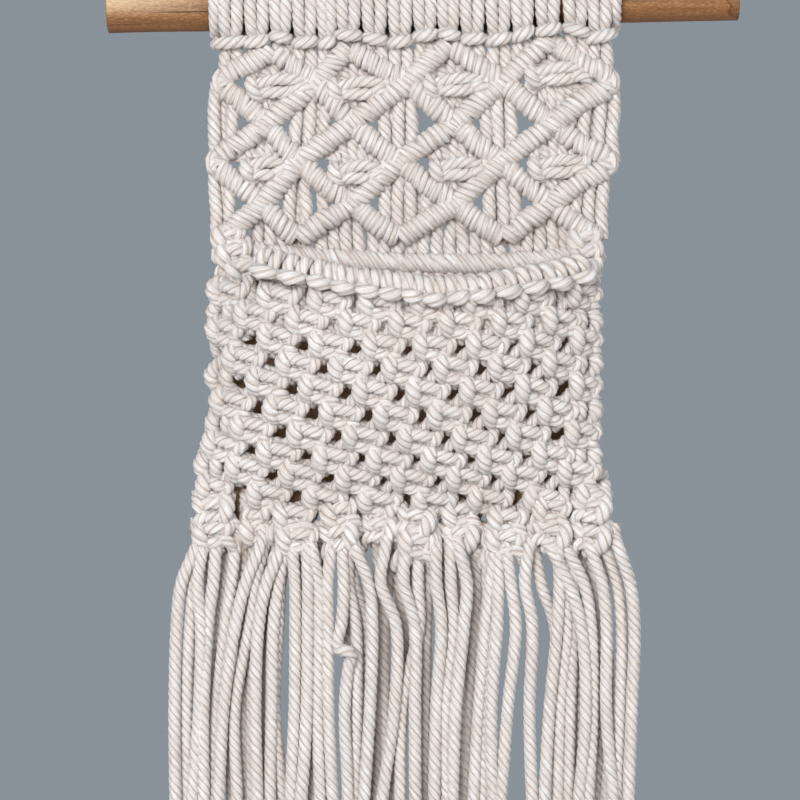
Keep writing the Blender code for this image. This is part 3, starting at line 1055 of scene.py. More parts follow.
@dataclass(frozen=True)
class OiledWood:
    """A sawn and oiled stick: honey brown with grain along it, painted shade on its underside, a fine crack
    and a stain.

    Attributes:
        light: Colour of the light bands.
        middle: Colour of the bands between them.
        dark: Colour of the grain and the pores.
        pale: Colour of the bleached stretch at the left and of the light flecks.
        under: Colour of the underside.
        stain: Colour of the stain at the right.
        split: Colour inside the crack.
        roughness: How matt it is.
    """

    light: Colour = linear(158, 113, 70)
    middle: Colour = linear(124, 80, 44)
    dark: Colour = linear(80, 46, 22)
    pale: Colour = linear(216, 187, 150)
    under: Colour = linear(96, 48, 4)
    stain: Colour = linear(88, 48, 20)
    split: Colour = linear(46, 30, 20)
    roughness: float = 0.5

    def material(self) -> bpy.types.Material:
        """Makes the material.

        Returns:
            The material.
        """
        recipe = Recipe("oiled_wood")
        place = recipe.node("ShaderNodeTexCoord").outputs["Object"]
        across, _, height = recipe.parts(place)
        fine = recipe.grain(place, 12.0, 260.0, detail=5.0, roughness=0.6)
        wide = recipe.grain(place, 5.0, 70.0, detail=3.0)
        colour = recipe.blend(wide.between(0.35, 0.65), self.middle, self.light)
        colour = recipe.blend(fine.between(0.5, 0.72) * 0.75, colour, self.dark)
        # Paler at the top of the left end.
        pale_top_left = across.between(-0.085, -0.125) * height.between(-0.006, 0.004)
        colour = recipe.blend(pale_top_left * 0.83, colour, self.pale)
        pores = recipe.grain(place, 560.0, 2300.0, detail=3.0)
        colour = recipe.blend(pores.between(0.48, 0.70) * 0.38, colour, self.dark)
        colour = recipe.blend(pores.between(0.48, 0.32) * 0.24, colour, self.pale)
        level = height - across * math.tan(ROD_TILT) - ROD_HEIGHT * MM
        # Painted shade: the rod is painted darker towards its underside.
        colour = recipe.blend(level.between(-0.001, -0.010) * 0.58, colour, self.under)
        # The crack follows the grain and fades out at both ends.
        crack = 1.0 - abs(level + 0.0027 + (wide - 0.5) * 0.0016).between(0.00012, 0.00036)
        crack = crack * across.between(-0.117, -0.101) * across.between(-0.086, -0.090)
        colour = recipe.blend(crack * 0.92, colour, self.split)
        # The stain has a dark rim, and is faint inside it.
        edge = across + height * 0.75 + recipe.noise(place, 160.0, 2.0) * 0.012 - 0.1335
        rim = 1.0 - abs(edge).between(0.0005, 0.0014)
        recipe.fill(
            recipe.shader,
            Base_Color=recipe.blend(rim * 0.70 + edge.between(0.0, 0.0012) * 0.28, colour, self.stain),
            Roughness=self.roughness + fine * 0.2,
            Normal=recipe.relief(0.6, fine * -0.0004),
            Specular_IOR_Level=0.25,
        )
        recipe.material.diffuse_color = (*self.middle, 1.0)
        return recipe.material


class Slot(Enum):
    """The record's material slots."""

    WOOD = "oiled_wood"
    ROPE = "cotton_rope"


@dataclass
class Dresser:
    """Gives each piece the material of its slot and its body, and hides the CAD node that it stands for.

    Attributes:
        rope: Material of the rope.
        wood: Material of the rod.
        rope_length: Metres of rope laid so far.
    """

    rope: bpy.types.Material
    wood: bpy.types.Material
    rope_length: float = 0.0

    def dress(self, piece: bpy.types.Object, slot: Slot, node: str) -> None:
        """Dresses a piece.

        Args:
            piece: The piece.
            slot: The slot that it takes its finish from.
            node: The CAD node that it replaces.
        """
        piece.data.materials.clear()
        piece.data.materials.append(self.wood if slot is Slot.WOOD else self.rope)
        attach(piece, "root")
        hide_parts(node)
        triangles = sum(len(face.vertices) - 2 for face in piece.data.polygons)
        LOG.info("%s: %d triangles, in place of %s", piece.name, triangles, node)

    def rope_piece(self, work: RopeWork, node: str) -> None:
        """Makes and dresses a piece of rope work.

        Args:
            work: The rope work.
            node: The CAD node that it replaces.
        """
        self.rope_length += work.length()
        LOG.info("%s: %.2f m of rope in %d runs", work.name, work.length(), len(work.runs))
        self.dress(work.piece(), Slot.ROPE, node)


# ---------------------------------------------------------------------------- sub-assemblies


@dataclass
class Rod:
    """The wooden rod, a little uneven as hand-cut wood is.

    Attributes:
        length: Its length.
        radius: Its radius.
        chamfer: How far its rims are rounded.
        sides: Sides of its cross-section.
        sections: Cuts along it.
        waves: For each wave of its surface the height as a share of the radius, the length along the rod
            for a radian, the turns round it and the start.
        planed: How much thinner it is in all, as a share, so that no wave passes the radius by much.
    """

    length: float = 265.0
    radius: float = ROD_RADIUS
    chamfer: float = 0.5
    sides: int = 64
    sections: int = 60
    waves: tuple[tuple[float, float, int, float], ...] = ((0.012, 23.0, 2, 0.0), (0.006, 9.0, -3, 1.0))
    planed: float = 0.014

    def build(self, dresser: Dresser) -> None:
        """Makes the rod.

        Args:
            dresser: What dresses it.
        """
        shape = bmesh.new()
        bmesh.ops.create_cone(
            shape,
            cap_ends=True,
            segments=self.sides,
            radius1=self.radius,
            radius2=self.radius,
            depth=self.length,
            matrix=Matrix.Rotation(math.pi / 2, 4, "Y"),
        )
        long_edges = [edge for edge in shape.edges if abs(edge.verts[0].co.x - edge.verts[1].co.x) > 1]
        bmesh.ops.subdivide_edges(shape, edges=long_edges, cuts=self.sections, use_grid_fill=True)
        rims = [edge for edge in shape.edges if any(len(face.verts) > 4 for face in edge.link_faces)]
        bmesh.ops.bevel(
            shape, geom=rims, offset=self.chamfer, segments=3, affect="EDGES", profile=0.5, material=-1
        )
        for vert in shape.verts:
            angle = math.atan2(vert.co.z, vert.co.y)
            uneven = 1.0 - self.planed
            for swell, span, turns, start in self.waves:
                uneven += swell * math.sin(vert.co.x / span + turns * angle + start)
            vert.co.y *= uneven
            vert.co.z *= uneven
        bmesh.ops.rotate(shape, verts=shape.verts, matrix=Matrix.Rotation(-ROD_TILT, 3, "Y"))
        bmesh.ops.translate(shape, vec=(0.0, 0.0, ROD_HEIGHT), verts=shape.verts)
        bmesh.ops.scale(shape, vec=(MM, MM, MM), verts=shape.verts)
        mesh = mesh_of(shape, "wooden_rod")
        mesh.shade_smooth()
        mesh.set_sharp_from_angle(angle=math.radians(30.0))
        dresser.dress(shown("wooden_rod", mesh), Slot.WOOD, "rod")


@dataclass
class Heading:
    """Sixteen lark's heads on the rod, those at both ends with a third loop.

    Attributes:
        heads: For each head its left and right end along the rod, the height of the bar across its front
            under the rod's middle, and how much higher that bar's right end is.
        pair: Width that the two loops of a head take.
        moved: How far the head at either end is moved off its third loop.
        ring_aside: From such a head's middle to that loop, before half a loop is added.
        high_bar: Height from which a front bar lies over the bars beside it.
        size: Share of the rope's thickness.
    """

    heads: tuple[tuple[float, float, float, float], ...] = (
        (-90.8, -75.0, -16.5, 0.6),
        (-75.0, -63.8, -16.3, 0.9),
        (-63.8, -55.0, -14.7, -0.6),
        (-55.0, -43.8, -17.1, 0.5),
        (-43.8, -36.7, -17.3, 0.9),
        (-36.7, -25.8, -14.7, -0.2),
        (-25.8, -15.0, -16.5, -0.7),
        (-15.0, -4.6, -17.5, 0.9),
        (-4.6, 5.8, -15.5, 0.6),
        (5.8, 15.0, -15.1, -0.5),
        (15.0, 25.8, -17.0, 0.4),
        (25.8, 36.7, -17.3, 1.0),
        (36.7, 45.8, -15.5, 1.6),
        (46.4, 57.2, -14.3, 0.9),
        (57.8, 69.2, -14.7, -1.2),
        (69.2, 82.9, -17.1, 1.3),
    )
    pair: float = 10.8
    moved: float = 2.6
    ring_aside: float = 5.2
    high_bar: float = -15.6
    size: float = 1.07

    def build(self, dresser: Dresser, bar_under: Callable[[float], float]) -> None:
        """Makes the heading.

        Args:
            dresser: What dresses it.
            bar_under: Gives the height of the first bar under a place across.
        """
        work = RopeWork("larks_heads_on_rod", 11)
        middle_of_rod = Spot.leaned(np.array([0.0, 0.0, ROD_HEIGHT]), ROD_TILT)
        for index, (left, right, bar_height, lean) in enumerate(self.heads):
            wide = right - left
            has_ring = wide > 1.2 * self.pair
            outwards = 1.0 if index else -1.0
            middle = (left + right) / 2 - (outwards * self.moved if has_ring else 0.0)
            half = min(wide, self.pair) / 4
            spot = Spot.leaned(middle_of_rod.at(middle, 0.0, 0.0), ROD_TILT)
            head = LarksHead(
                carrier=ROD_RADIUS,
                half=half,
                width=wide / 2 - BAR_MARGIN,
                bar_height=bar_height + work.jitter(0.2),
                tails=tuple(bar_under(middle + side * half) - spot.origin[2] for side in (-1.0, 1.0)),
                size=self.size,
            )
            head.lay(work, spot, deeper=0.9 if bar_height > self.high_bar else -0.7, lean=lean)
            if has_ring:
                self.lay_ring(work, spot, outwards * (self.ring_aside + half * 0.55))
        dresser.rope_piece(work, "heading")

    def lay_ring(self, work: RopeWork, spot: Spot, aside: float) -> None:
        """Lays a single loop round the rod beside a head.

        Args:
            work: The piece that it goes into.
            spot: The rod's middle at the head's middle.
            aside: How far to the right of that the loop is.
        """
        reach = ROD_RADIUS + work.rope.radius
        start, turned, steps = -78, 336, 14
        rows = []
        for step in range(steps + 1):
            angle = math.radians(start + turned * step / steps)
            rows.append((aside, reach * math.sin(angle), reach * math.cos(angle)))
        work.lay(spot.path(rows))


@dataclass
class DiamondPanel:
    """The lattice of hitched bars, its loose strands and its square knots.

    Attributes:
        rows: Height of each row of crossings, and where they lie across.
        chains: Rows and columns of the crossings that each continuous bar runs through.
        strands: Where loose strands hang under each row, between the bars.
        knots: Middle, half width and half height of the square knots in the diamonds.
        rear_bar: Places across and heights of the bar that closes the panel behind the pocket's mouth.
        top_slope: How much higher the first row is for each millimetre to the right, as the rod is tilted.
        shoulders: Rows and columns of the crossings at which a bar turns at the panel's side.
        rear_strands: First and last place across of the strands over the rear bar, and their pitch.
        lens_half: Half width and half height of a diamond's knot before it is scaled.
    """

    rows: tuple[tuple[float, tuple[float, ...]], ...] = (
        (-17.6, (-63.0, -31.5, 10.5, 53.0)),
        (-33.0, (-83.5, -43.5, -6.0, 33.5, 77.5)),
        (-50.5, (-65.0, -29.5, 13.5, 54.0)),
        (-66.5, (-86.0, -51.5, -9.5, 33.0, 77.0)),
        (-84.0, (-67.0, -29.5, 13.5, 53.0)),
        (-98.5, (-83.0, -52.0, -9.5, 34.0, 73.0)),
    )
    chains: tuple[tuple[tuple[int, int], ...], ...] = (
        ((0, 0), (1, 0), (2, 0)),
        ((0, 1), (1, 1), (2, 0), (3, 0), (4, 0)),
        ((0, 2), (1, 2), (2, 1), (3, 1), (4, 0), (5, 0)),
        ((0, 3), (1, 3), (2, 2), (3, 2), (4, 1), (5, 1)),
        ((0, 3), (1, 4), (2, 3), (3, 3), (4, 2), (5, 2)),
        ((2, 3), (3, 4), (4, 3), (5, 3)),
        ((4, 3), (5, 4)),
    )
    strands: tuple[tuple[int, tuple[float, ...]], ...] = (
        (1, (
            -86.5, -79.8, -53.3, -47.6, -40.8, -15.8, -10.0, -4.2,
            26.0, 31.2, 36.6, 56.0, 61.5, 67.5, 73.4, 79.3,
        )),
        (3, (
            -86.7, -80.2, -55.4, -49.2, -41.2, -15.8, -10.2, -4.6,
            1.2, 27.6, 33.4, 38.8, 57.8, 63.6, 69.4, 75.0,
        )),
    )
    knots: tuple[tuple[float, float, float, float], ...] = (
        (-60.0, -35.4, 14.5, 5.4),
        (-27.0, -36.4, 13.0, 5.2),
        (13.5, -34.8, 14.0, 5.0),
        (55.4, -30.4, 13.5, 5.0),
        (-66.0, -69.8, 9.5, 5.4),
        (-27.5, -71.4, 12.0, 5.2),
        (14.5, -70.0, 12.0, 5.2),
        (56.0, -69.0, 12.5, 5.2),
    )
    rear_bar: tuple[tuple[float, float], ...] = (
        (-86.0, -100.5),
        (-74.0, -103.5),
        (-51.0, -106.0),
        (-9.6, -108.4),
        (32.0, -108.6),
        (57.0, -106.5),
        (74.0, -103.5),
    )
    top_slope: float = 0.036
    shoulders: tuple[tuple[int, int], ...] = ((1, 0), (3, 0), (1, 4), (3, 4))
    rear_strands: tuple[float, float, float] = (-80.0, 74.0, 5.35)
    lens_half: tuple[float, float] = (12.5, 5.2)

    def crossing(self, row: int, column: int) -> tuple[float, float]:
        """Finds a crossing.

        Args:
            row: Its row, from the top.
            column: Its place in the row, from the left.

        Returns:
            Its place across and its height.
        """
        height, places = self.rows[row]
        across = places[column]
        if row == 0:
            height += self.top_slope * across
        return across, height

    def bar_line(self, row: int) -> list[tuple[float, float]]:
        """Finds the zigzag of bars from a row of crossings to the next.

        Args:
            row: The upper row.

        Returns:
            Places across and heights, from left to right.
        """
        points = []
        for level in (row, row + 1):
            points += [self.crossing(level, column) for column in range(len(self.rows[level][1]))]
        return sorted(points)

    def under_bars(self) -> list[tuple[tuple[float, float], tuple[float, float]]]:
        """Finds the bars that pass under the chains, three to a row, each down to the next row's crossing.

        Returns:
            Both ends of each.
        """
        ends = []
        for row in range(len(self.rows) - 1):
            further_in = row % 2
            for column in range(3):
                ends.append((self.crossing(row, column + further_in), self.crossing(row + 1, column + 1)))
        return ends

    def bar_at(self, row: int, across: float) -> float:
        """Gives the height of the bars under a row of crossings, at a place across."""
        points = self.bar_line(row)
        return float(np.interp(across, [point[0] for point in points], [point[1] for point in points]))

    def rear_at(self, across: float) -> float:
        """Gives the height of the rear bar at a place across."""
        return float(np.interp(across, *zip(*self.rear_bar)))

    def build(self, dresser: Dresser) -> None:
        """Makes the panel in two pieces.

        Args:
            dresser: What dresses it.
        """
        bars = RopeWork("hitched_bars", 21, TIGHT_ROPE)
        hitches = HitchedBar()
        for chain in self.chains:
            starts_under = chain in self.chains[4:]
            ends_under = chain in self.chains[:2]
            axis = []
            for index, crossing in enumerate(chain):
                across, height = self.crossing(*crossing)
                is_under = (starts_under and index == 0) or (ends_under and index == len(chain) - 1)
                axis.append((across, PANEL_Y - (-0.6 if is_under else 1.0), height))
            hitches.lay(bars, self.eased(axis))
        for first, last in self.under_bars():
            rows = []
            for share, off, sag in ((0.07, 0.3, 0.0), (0.5, 1.2, 0.8), (0.94, 0.3, 0.0)):
                across, height = mix(first[0], last[0], share), mix(first[1], last[1], share)
                rows.append((across, PANEL_Y - off, height - sag))
            hitches.lay(bars, rows)
        for row, column in self.shoulders:
            self.lay_shoulder(bars, *self.crossing(row, column))
        rear = HitchedBar(pitch=2.9, reach=2.7, size=0.76, lean=1.8)
        rear.lay(bars, [(across, PANEL_Y + 0.2, height) for across, height in self.rear_bar])
        dresser.rope_piece(bars, "diamond_panel")
        dresser.rope_piece(self.loose_strands(), "diamond_panel")

    def lay_shoulder(self, work: RopeWork, across: float, height: float) -> None:
        """Lays the strand that rounds the outside of a bar's turn at the panel's side.

        Args:
            work: The piece that it goes into.
            across: The turn's place across.
            height: Its height.
        """
        outwards = math.copysign(1.0, across)
        depth_of_bend, half_height = 4.4, 5.4
        rows = []
        for share in (-1.0, -0.72, -0.3, 0.3, 0.72, 1.0):
            bend = depth_of_bend * share * share
            rows.append((
                across + outwards * (depth_of_bend / 2 - bend),
                PANEL_Y - 2.6 + bend,
                height + half_height * share + work.jitter(0.3),
            ))
        work.lay(rows, 0.95)

    def eased(self, axis: Sequence[Point]) -> list[Point]:
        """Rounds a chain's turn at the panel's side, and lets its straights sag a little.

        Args:
            axis: The chain's crossings.

        Returns:
            Points along the chain.
        """
        eased: list[Point] = []
        for index, (across, depth, height) in enumerate(axis):
            before = axis[index - 1] if index else None
            after = axis[index + 1] if index < len(axis) - 1 else None
            if before:
                lift = 0.5 if across < before[0] else -0.5
                eased.append((
                    (across + before[0]) / 2,
                    (depth + before[1]) / 2 - 0.3,
                    (height + before[2]) / 2 + lift,
                ))
            if before and after and (across - before[0]) * (after[0] - across) < 0:
                side = math.copysign(1.0, across)
                for inwards, deeper, rise in ((1.4, 0.0, 2.8), (0.2, 0.8, 0.0), (1.4, 0.0, -2.8)):
                    eased.append((across - inwards * side, depth + deeper, height + rise))
            else:
                eased.append((across, depth, height))
        return eased

    def loose_strands(self) -> RopeWork:
        """Lays the strands and square knots between the bars.

        Returns:
            The piece that they are in.
        """
        work = RopeWork("loose_strands_and_knots", 22)
        close, tall, short = 8.0, 9.0, 3.0
        for row, places in self.strands:
            for across in places:
                top, bottom = self.bar_at(row, across), self.bar_at(row + 1, across)
                self.lay_strand(work, across, top, bottom)
            for left, right in zip(places, places[1:]):
                middle = (left + right) / 2
                top, bottom = self.bar_at(row, middle), self.bar_at(row + 1, middle)
                if right - left < close and top - bottom > tall:
                    self.lay_strand(work, middle, top, bottom, off=-4.4)
        for row, knots in ((0, self.knots[:4]), (2, self.knots[4:])):
            for across, height, half_width, half_height in knots:
                wide, high = half_width / self.lens_half[0], half_height / self.lens_half[1]
                knot = SquareKnot(KnotShape.LENS, wide=wide, high=high)
                knot.lay(work, Spot.flat(across, height, 1.4, lean=math.radians(3.0)))
                self.lay_fillers(work, row, row + 1, across, height, half_width)
        for across in np.arange(*self.rear_strands).tolist():
            top, bottom = self.bar_at(4, across), self.rear_at(across)
            if top - bottom > short:
                self.lay_strand(work, across + work.jitter(0.5), top, bottom, off=-2.6)
        return work

    def lay_strand(
        self, work: RopeWork, across: float, top: float, bottom: float, off: float = -1.2
    ) -> None:
        """Lays one loose strand between two heights.

        Args:
            work: The piece that it goes into.
            across: Its place across.
            top: Height of its upper end.
            bottom: Height of its lower end.
            off: How far it stands off the panel's middle.
        """
        rows = []
        for share in (0.0, 0.33, 0.66, 1.0):
            rows.append((
                across + work.jitter(0.7),
                PANEL_Y - off + work.jitter(0.6),
                mix(top, bottom, share),
            ))
        work.lay(rows, 1.07)

    def lay_fillers(
        self, work: RopeWork, upper: int, lower: int, across: float, height: float, half_width: float
    ) -> None:
        """Lays the strands that a square knot in a diamond gathers.

        Args:
            work: The piece that they go into.
            upper: The row of crossings over the bars that they hang from.
            lower: The row of crossings over the bars that they run to.
            across: The knot's place across.
            height: Its height.
            half_width: Half its width.
        """
        half_top, half_bottom = 17.0, 15.0
        for share in (-0.9, -0.5, -0.15, 0.2, 0.55, 0.9):
            top_across = across + share * half_top
            bottom_across = across + share * half_bottom
            work.lay([
                (top_across, PANEL_Y + 2.8, self.bar_at(upper, top_across)),
                (across + share * half_width * 0.62, PANEL_Y + 1.8, height + 3.4),
                (across + share * half_width * 0.55, PANEL_Y + 1.2, height - 2.0),
                (bottom_across, PANEL_Y + 2.4, self.bar_at(lower, bottom_across)),
            ])


@dataclass
class PocketBack:
    """The strands that hang straight down behind the pocket.

    Attributes:
        count: Number of strands.
        left: Where the left edge is across, at the top.
        left_bottom: The same at the bottom.
        right: Where the right edge is across.
        bottom: Height at which they draw together into the joining knots.
        steps: Guide points that each strand has down to there, after its first.
    """

    count: int = 35
    left: float = -83.5
    left_bottom: float = -88.0
    right: float = 70.5
    bottom: float = -209.0
    steps: int = 5

    def build(
        self, dresser: Dresser, bar_over: Callable[[float], float], join_under: Callable[[float], float]
    ) -> None:
        """Makes the strands.

        Args:
            dresser: What dresses them.
            bar_over: Gives the height of the bar that they hang from, at a place across.
            join_under: Gives the place across where they go into a joining knot.
        """
        work = RopeWork("pocket_back_strands", 31)
        for index in range(self.count):
            share = (index + 0.5) / self.count
            top = mix(self.left, self.right, share)
            bottom = mix(self.left_bottom, self.right, share)
            rows = []
            for step in range(self.steps + 1):
                down = step / self.steps
                rows.append((
                    mix(top, bottom, down) + work.jitter(0.35),
                    PANEL_Y + 0.3 + work.jitter(0.35),
                    mix(bar_over(top), self.bottom, down),
                ))
            gathered = join_under(bottom)
            rows.append((mix(bottom, gathered, 0.6), PANEL_Y - 0.6, self.bottom - 6.0))
            rows.append((gathered, PANEL_Y - 4.5, self.bottom - 11.5))
            work.lay(rows, 1.02)
        dresser.rope_piece(work, "pocket_back")


@dataclass
class Bowl:
    """The bowed sheet in which the pocket's front lies.

    Attributes:
        centre: Its middle across.
        top_width: Its width at the mouth.
        bottom_width: Its width at the bottom.
        top: Height of the mouth's middle.
        rise: How much higher the mouth's ends are.
        bottom: Height of its bottom.
        bulge: How far the mouth's middle stands out from its sides.
        arch: How flat the bow is across, as a power.
        taper: How soon it draws in towards the bottom, as a power.
        off_top: From the panel's middle to the net's at its upper corners.
        off_bottom: The same at the bottom.
        furthest: How far to the side, as a share of half the width, the bow goes on.
        rounds: Steps in which a spot is found.
    """

    centre: float = -7.5
    top_width: float = 157.0
    bottom_width: float = 170.0
    top: float = -124.8
    rise: float = 7.5
    bottom: float = -207.0
    bulge: float = 26.0
    arch: float = 2.6
    taper: float = 2.4
    off_top: float = 8.0
    off_bottom: float = 5.8
    furthest: float = 1.15
    rounds: int = 8

    def place(self, side: float, down: float) -> np.ndarray:
        """Gives a place on the sheet.

        Args:
            side: From -1 at the left to 1 at the right.
            down: From 0 at the mouth to 1 at the bottom.

        Returns:
            The place.
        """
        width = mix(self.top_width, self.bottom_width, down)
        limited = min(abs(side), self.furthest)
        mouth = self.top + self.rise * side * side
        bow = self.bulge * (1.0 - limited**self.arch) * (1.0 - max(down, 0.0) ** self.taper)
        off = mix(self.off_top, self.off_bottom, down) + bow
        return np.array([
            self.centre + side * width / 2,
            PANEL_Y - off,
            mix(mouth, self.bottom, down),
        ])

    def spot(self, across: float, height: float) -> Spot:
        """Finds the spot that the photograph shows at a place of the panel's plane.

        Args:
            across: Place across in that plane.
            height: Height in that plane.

        Returns:
            The spot, with the sheet's own directions.
        """
        side, down = 0.0, 0.5
        for _ in range(self.rounds):
            here = self.place(side, down)
            goal = seen(across, height, PANEL_Y - here[1])
            width = mix(self.top_width, self.bottom_width, down)
            side += (goal[0] - here[0]) / (width / 2)
            mouth = self.top + self.rise * side * side
            down += (here[2] - goal[2]) / (mouth - self.bottom)
        reach = 0.02
        rightwards = self.place(side + reach, down) - self.place(side - reach, down)
        upwards = self.place(side, down - reach) - self.place(side, down + reach)
        # The knots keep the width and height that the photograph shows, however the sheet slopes.
        rightwards = np.array([1.0, rightwards[1] / rightwards[0], 0.0])
        upwards = np.array([0.0, upwards[1] / upwards[2], 1.0])
        out = np.cross(upwards, rightwards)
        out /= -np.linalg.norm(out) if out[1] > 0 else np.linalg.norm(out)
        return Spot(self.place(side, down), rightwards, upwards, out)


@dataclass
class Lip:
    """The lark's heads at the pocket's mouth, and the knots at its corners.

    Attributes:
        heads: Middle of each head across, and its height.
        corners: Middle, height, width and distance off the panel of each knot at a corner, and how far
            out to the side its ropes may lie.
        carrier: Radius of the holding cord.
    """

    heads: tuple[tuple[float, float], ...] = (
        (-63.0, -108.2),
        (-51.9, -110.8),
        (-40.9, -113.0),
        (-31.8, -115.2),
        (-22.3, -116.4),
        (-12.9, -117.4),
        (-4.2, -118.6),
        (4.6, -119.6),
        (13.7, -119.2),
        (22.9, -118.6),
        (33.2, -116.8),
        (43.3, -114.8),
        (53.3, -113.0),
        (62.5, -110.6),
    )
    corners: tuple[tuple[float, float, float, float, float], ...] = (
        (-80.8, -99.2, 0.72, 1.0, -86.0),
        (-78.4, -106.4, 0.80, 3.5, -84.6),
        (-73.6, -113.0, 0.90, 5.5, -81.2),
        (-77.6, -119.6, 0.84, 5.5, -84.6),
        (67.6, -100.4, 0.74, 1.0, 73.0),
        (68.4, -107.2, 0.76, 3.5, 72.4),
        (66.6, -113.8, 0.84, 5.5, 71.0),
        (64.4, -120.2, 0.84, 5.5, 67.4),
    )
    carrier: float = 1.0

    def build(self, dresser: Dresser, bowl: Bowl) -> None:
        """Makes the lip.

        Args:
            dresser: What dresses it.
            bowl: The sheet that it hangs on.
        """
        work = RopeWork("pocket_lip_heads", 41, LIP_ROPE)
        for index, (across, height) in enumerate(self.heads):
            lower, upper = max(index - 1, 0), min(index + 1, len(self.heads) - 1)
            rise = self.heads[upper][1] - self.heads[lower][1]
            run = self.heads[upper][0] - self.heads[lower][0]
            wide = run / (upper - lower)
            base = bowl.spot(across, height)
            lean = math.atan2(rise, run)
            cosine, sine = math.cos(lean), math.sin(lean)
            along_lip = cosine * base.across + sine * UPRIGHT
            spot = Spot(base.origin, along_lip, cosine * UPRIGHT - sine * base.across, base.out)
            head = LarksHead(
                carrier=self.carrier,
                half=wide * 0.25,
                width=wide * 0.5 - BAR_MARGIN,
                bar_height=-3.4 + work.jitter(0.3),
                tails=(-6.0, -6.0),
                size=1.12,
                gap=0.72,
                tails_behind=True,
                fullness=1.12,
            )
            head.lay(work, spot, deeper=-0.8 + (0.7 if index % 2 else 0.0), lean=work.jitter(0.5))
        for across, height, wide, off, edge in self.corners:
            spot = Spot.flat(across, height, off)
            room = (edge - across, FREE) if across < 0 else (-FREE, edge - across)
            knot = SquareKnot(wide=wide, high=0.92, size=1.08, lean=work.jitter(0.3), room=room)
            knot.lay(work, spot)
        dresser.rope_piece(work, "pocket_lip")


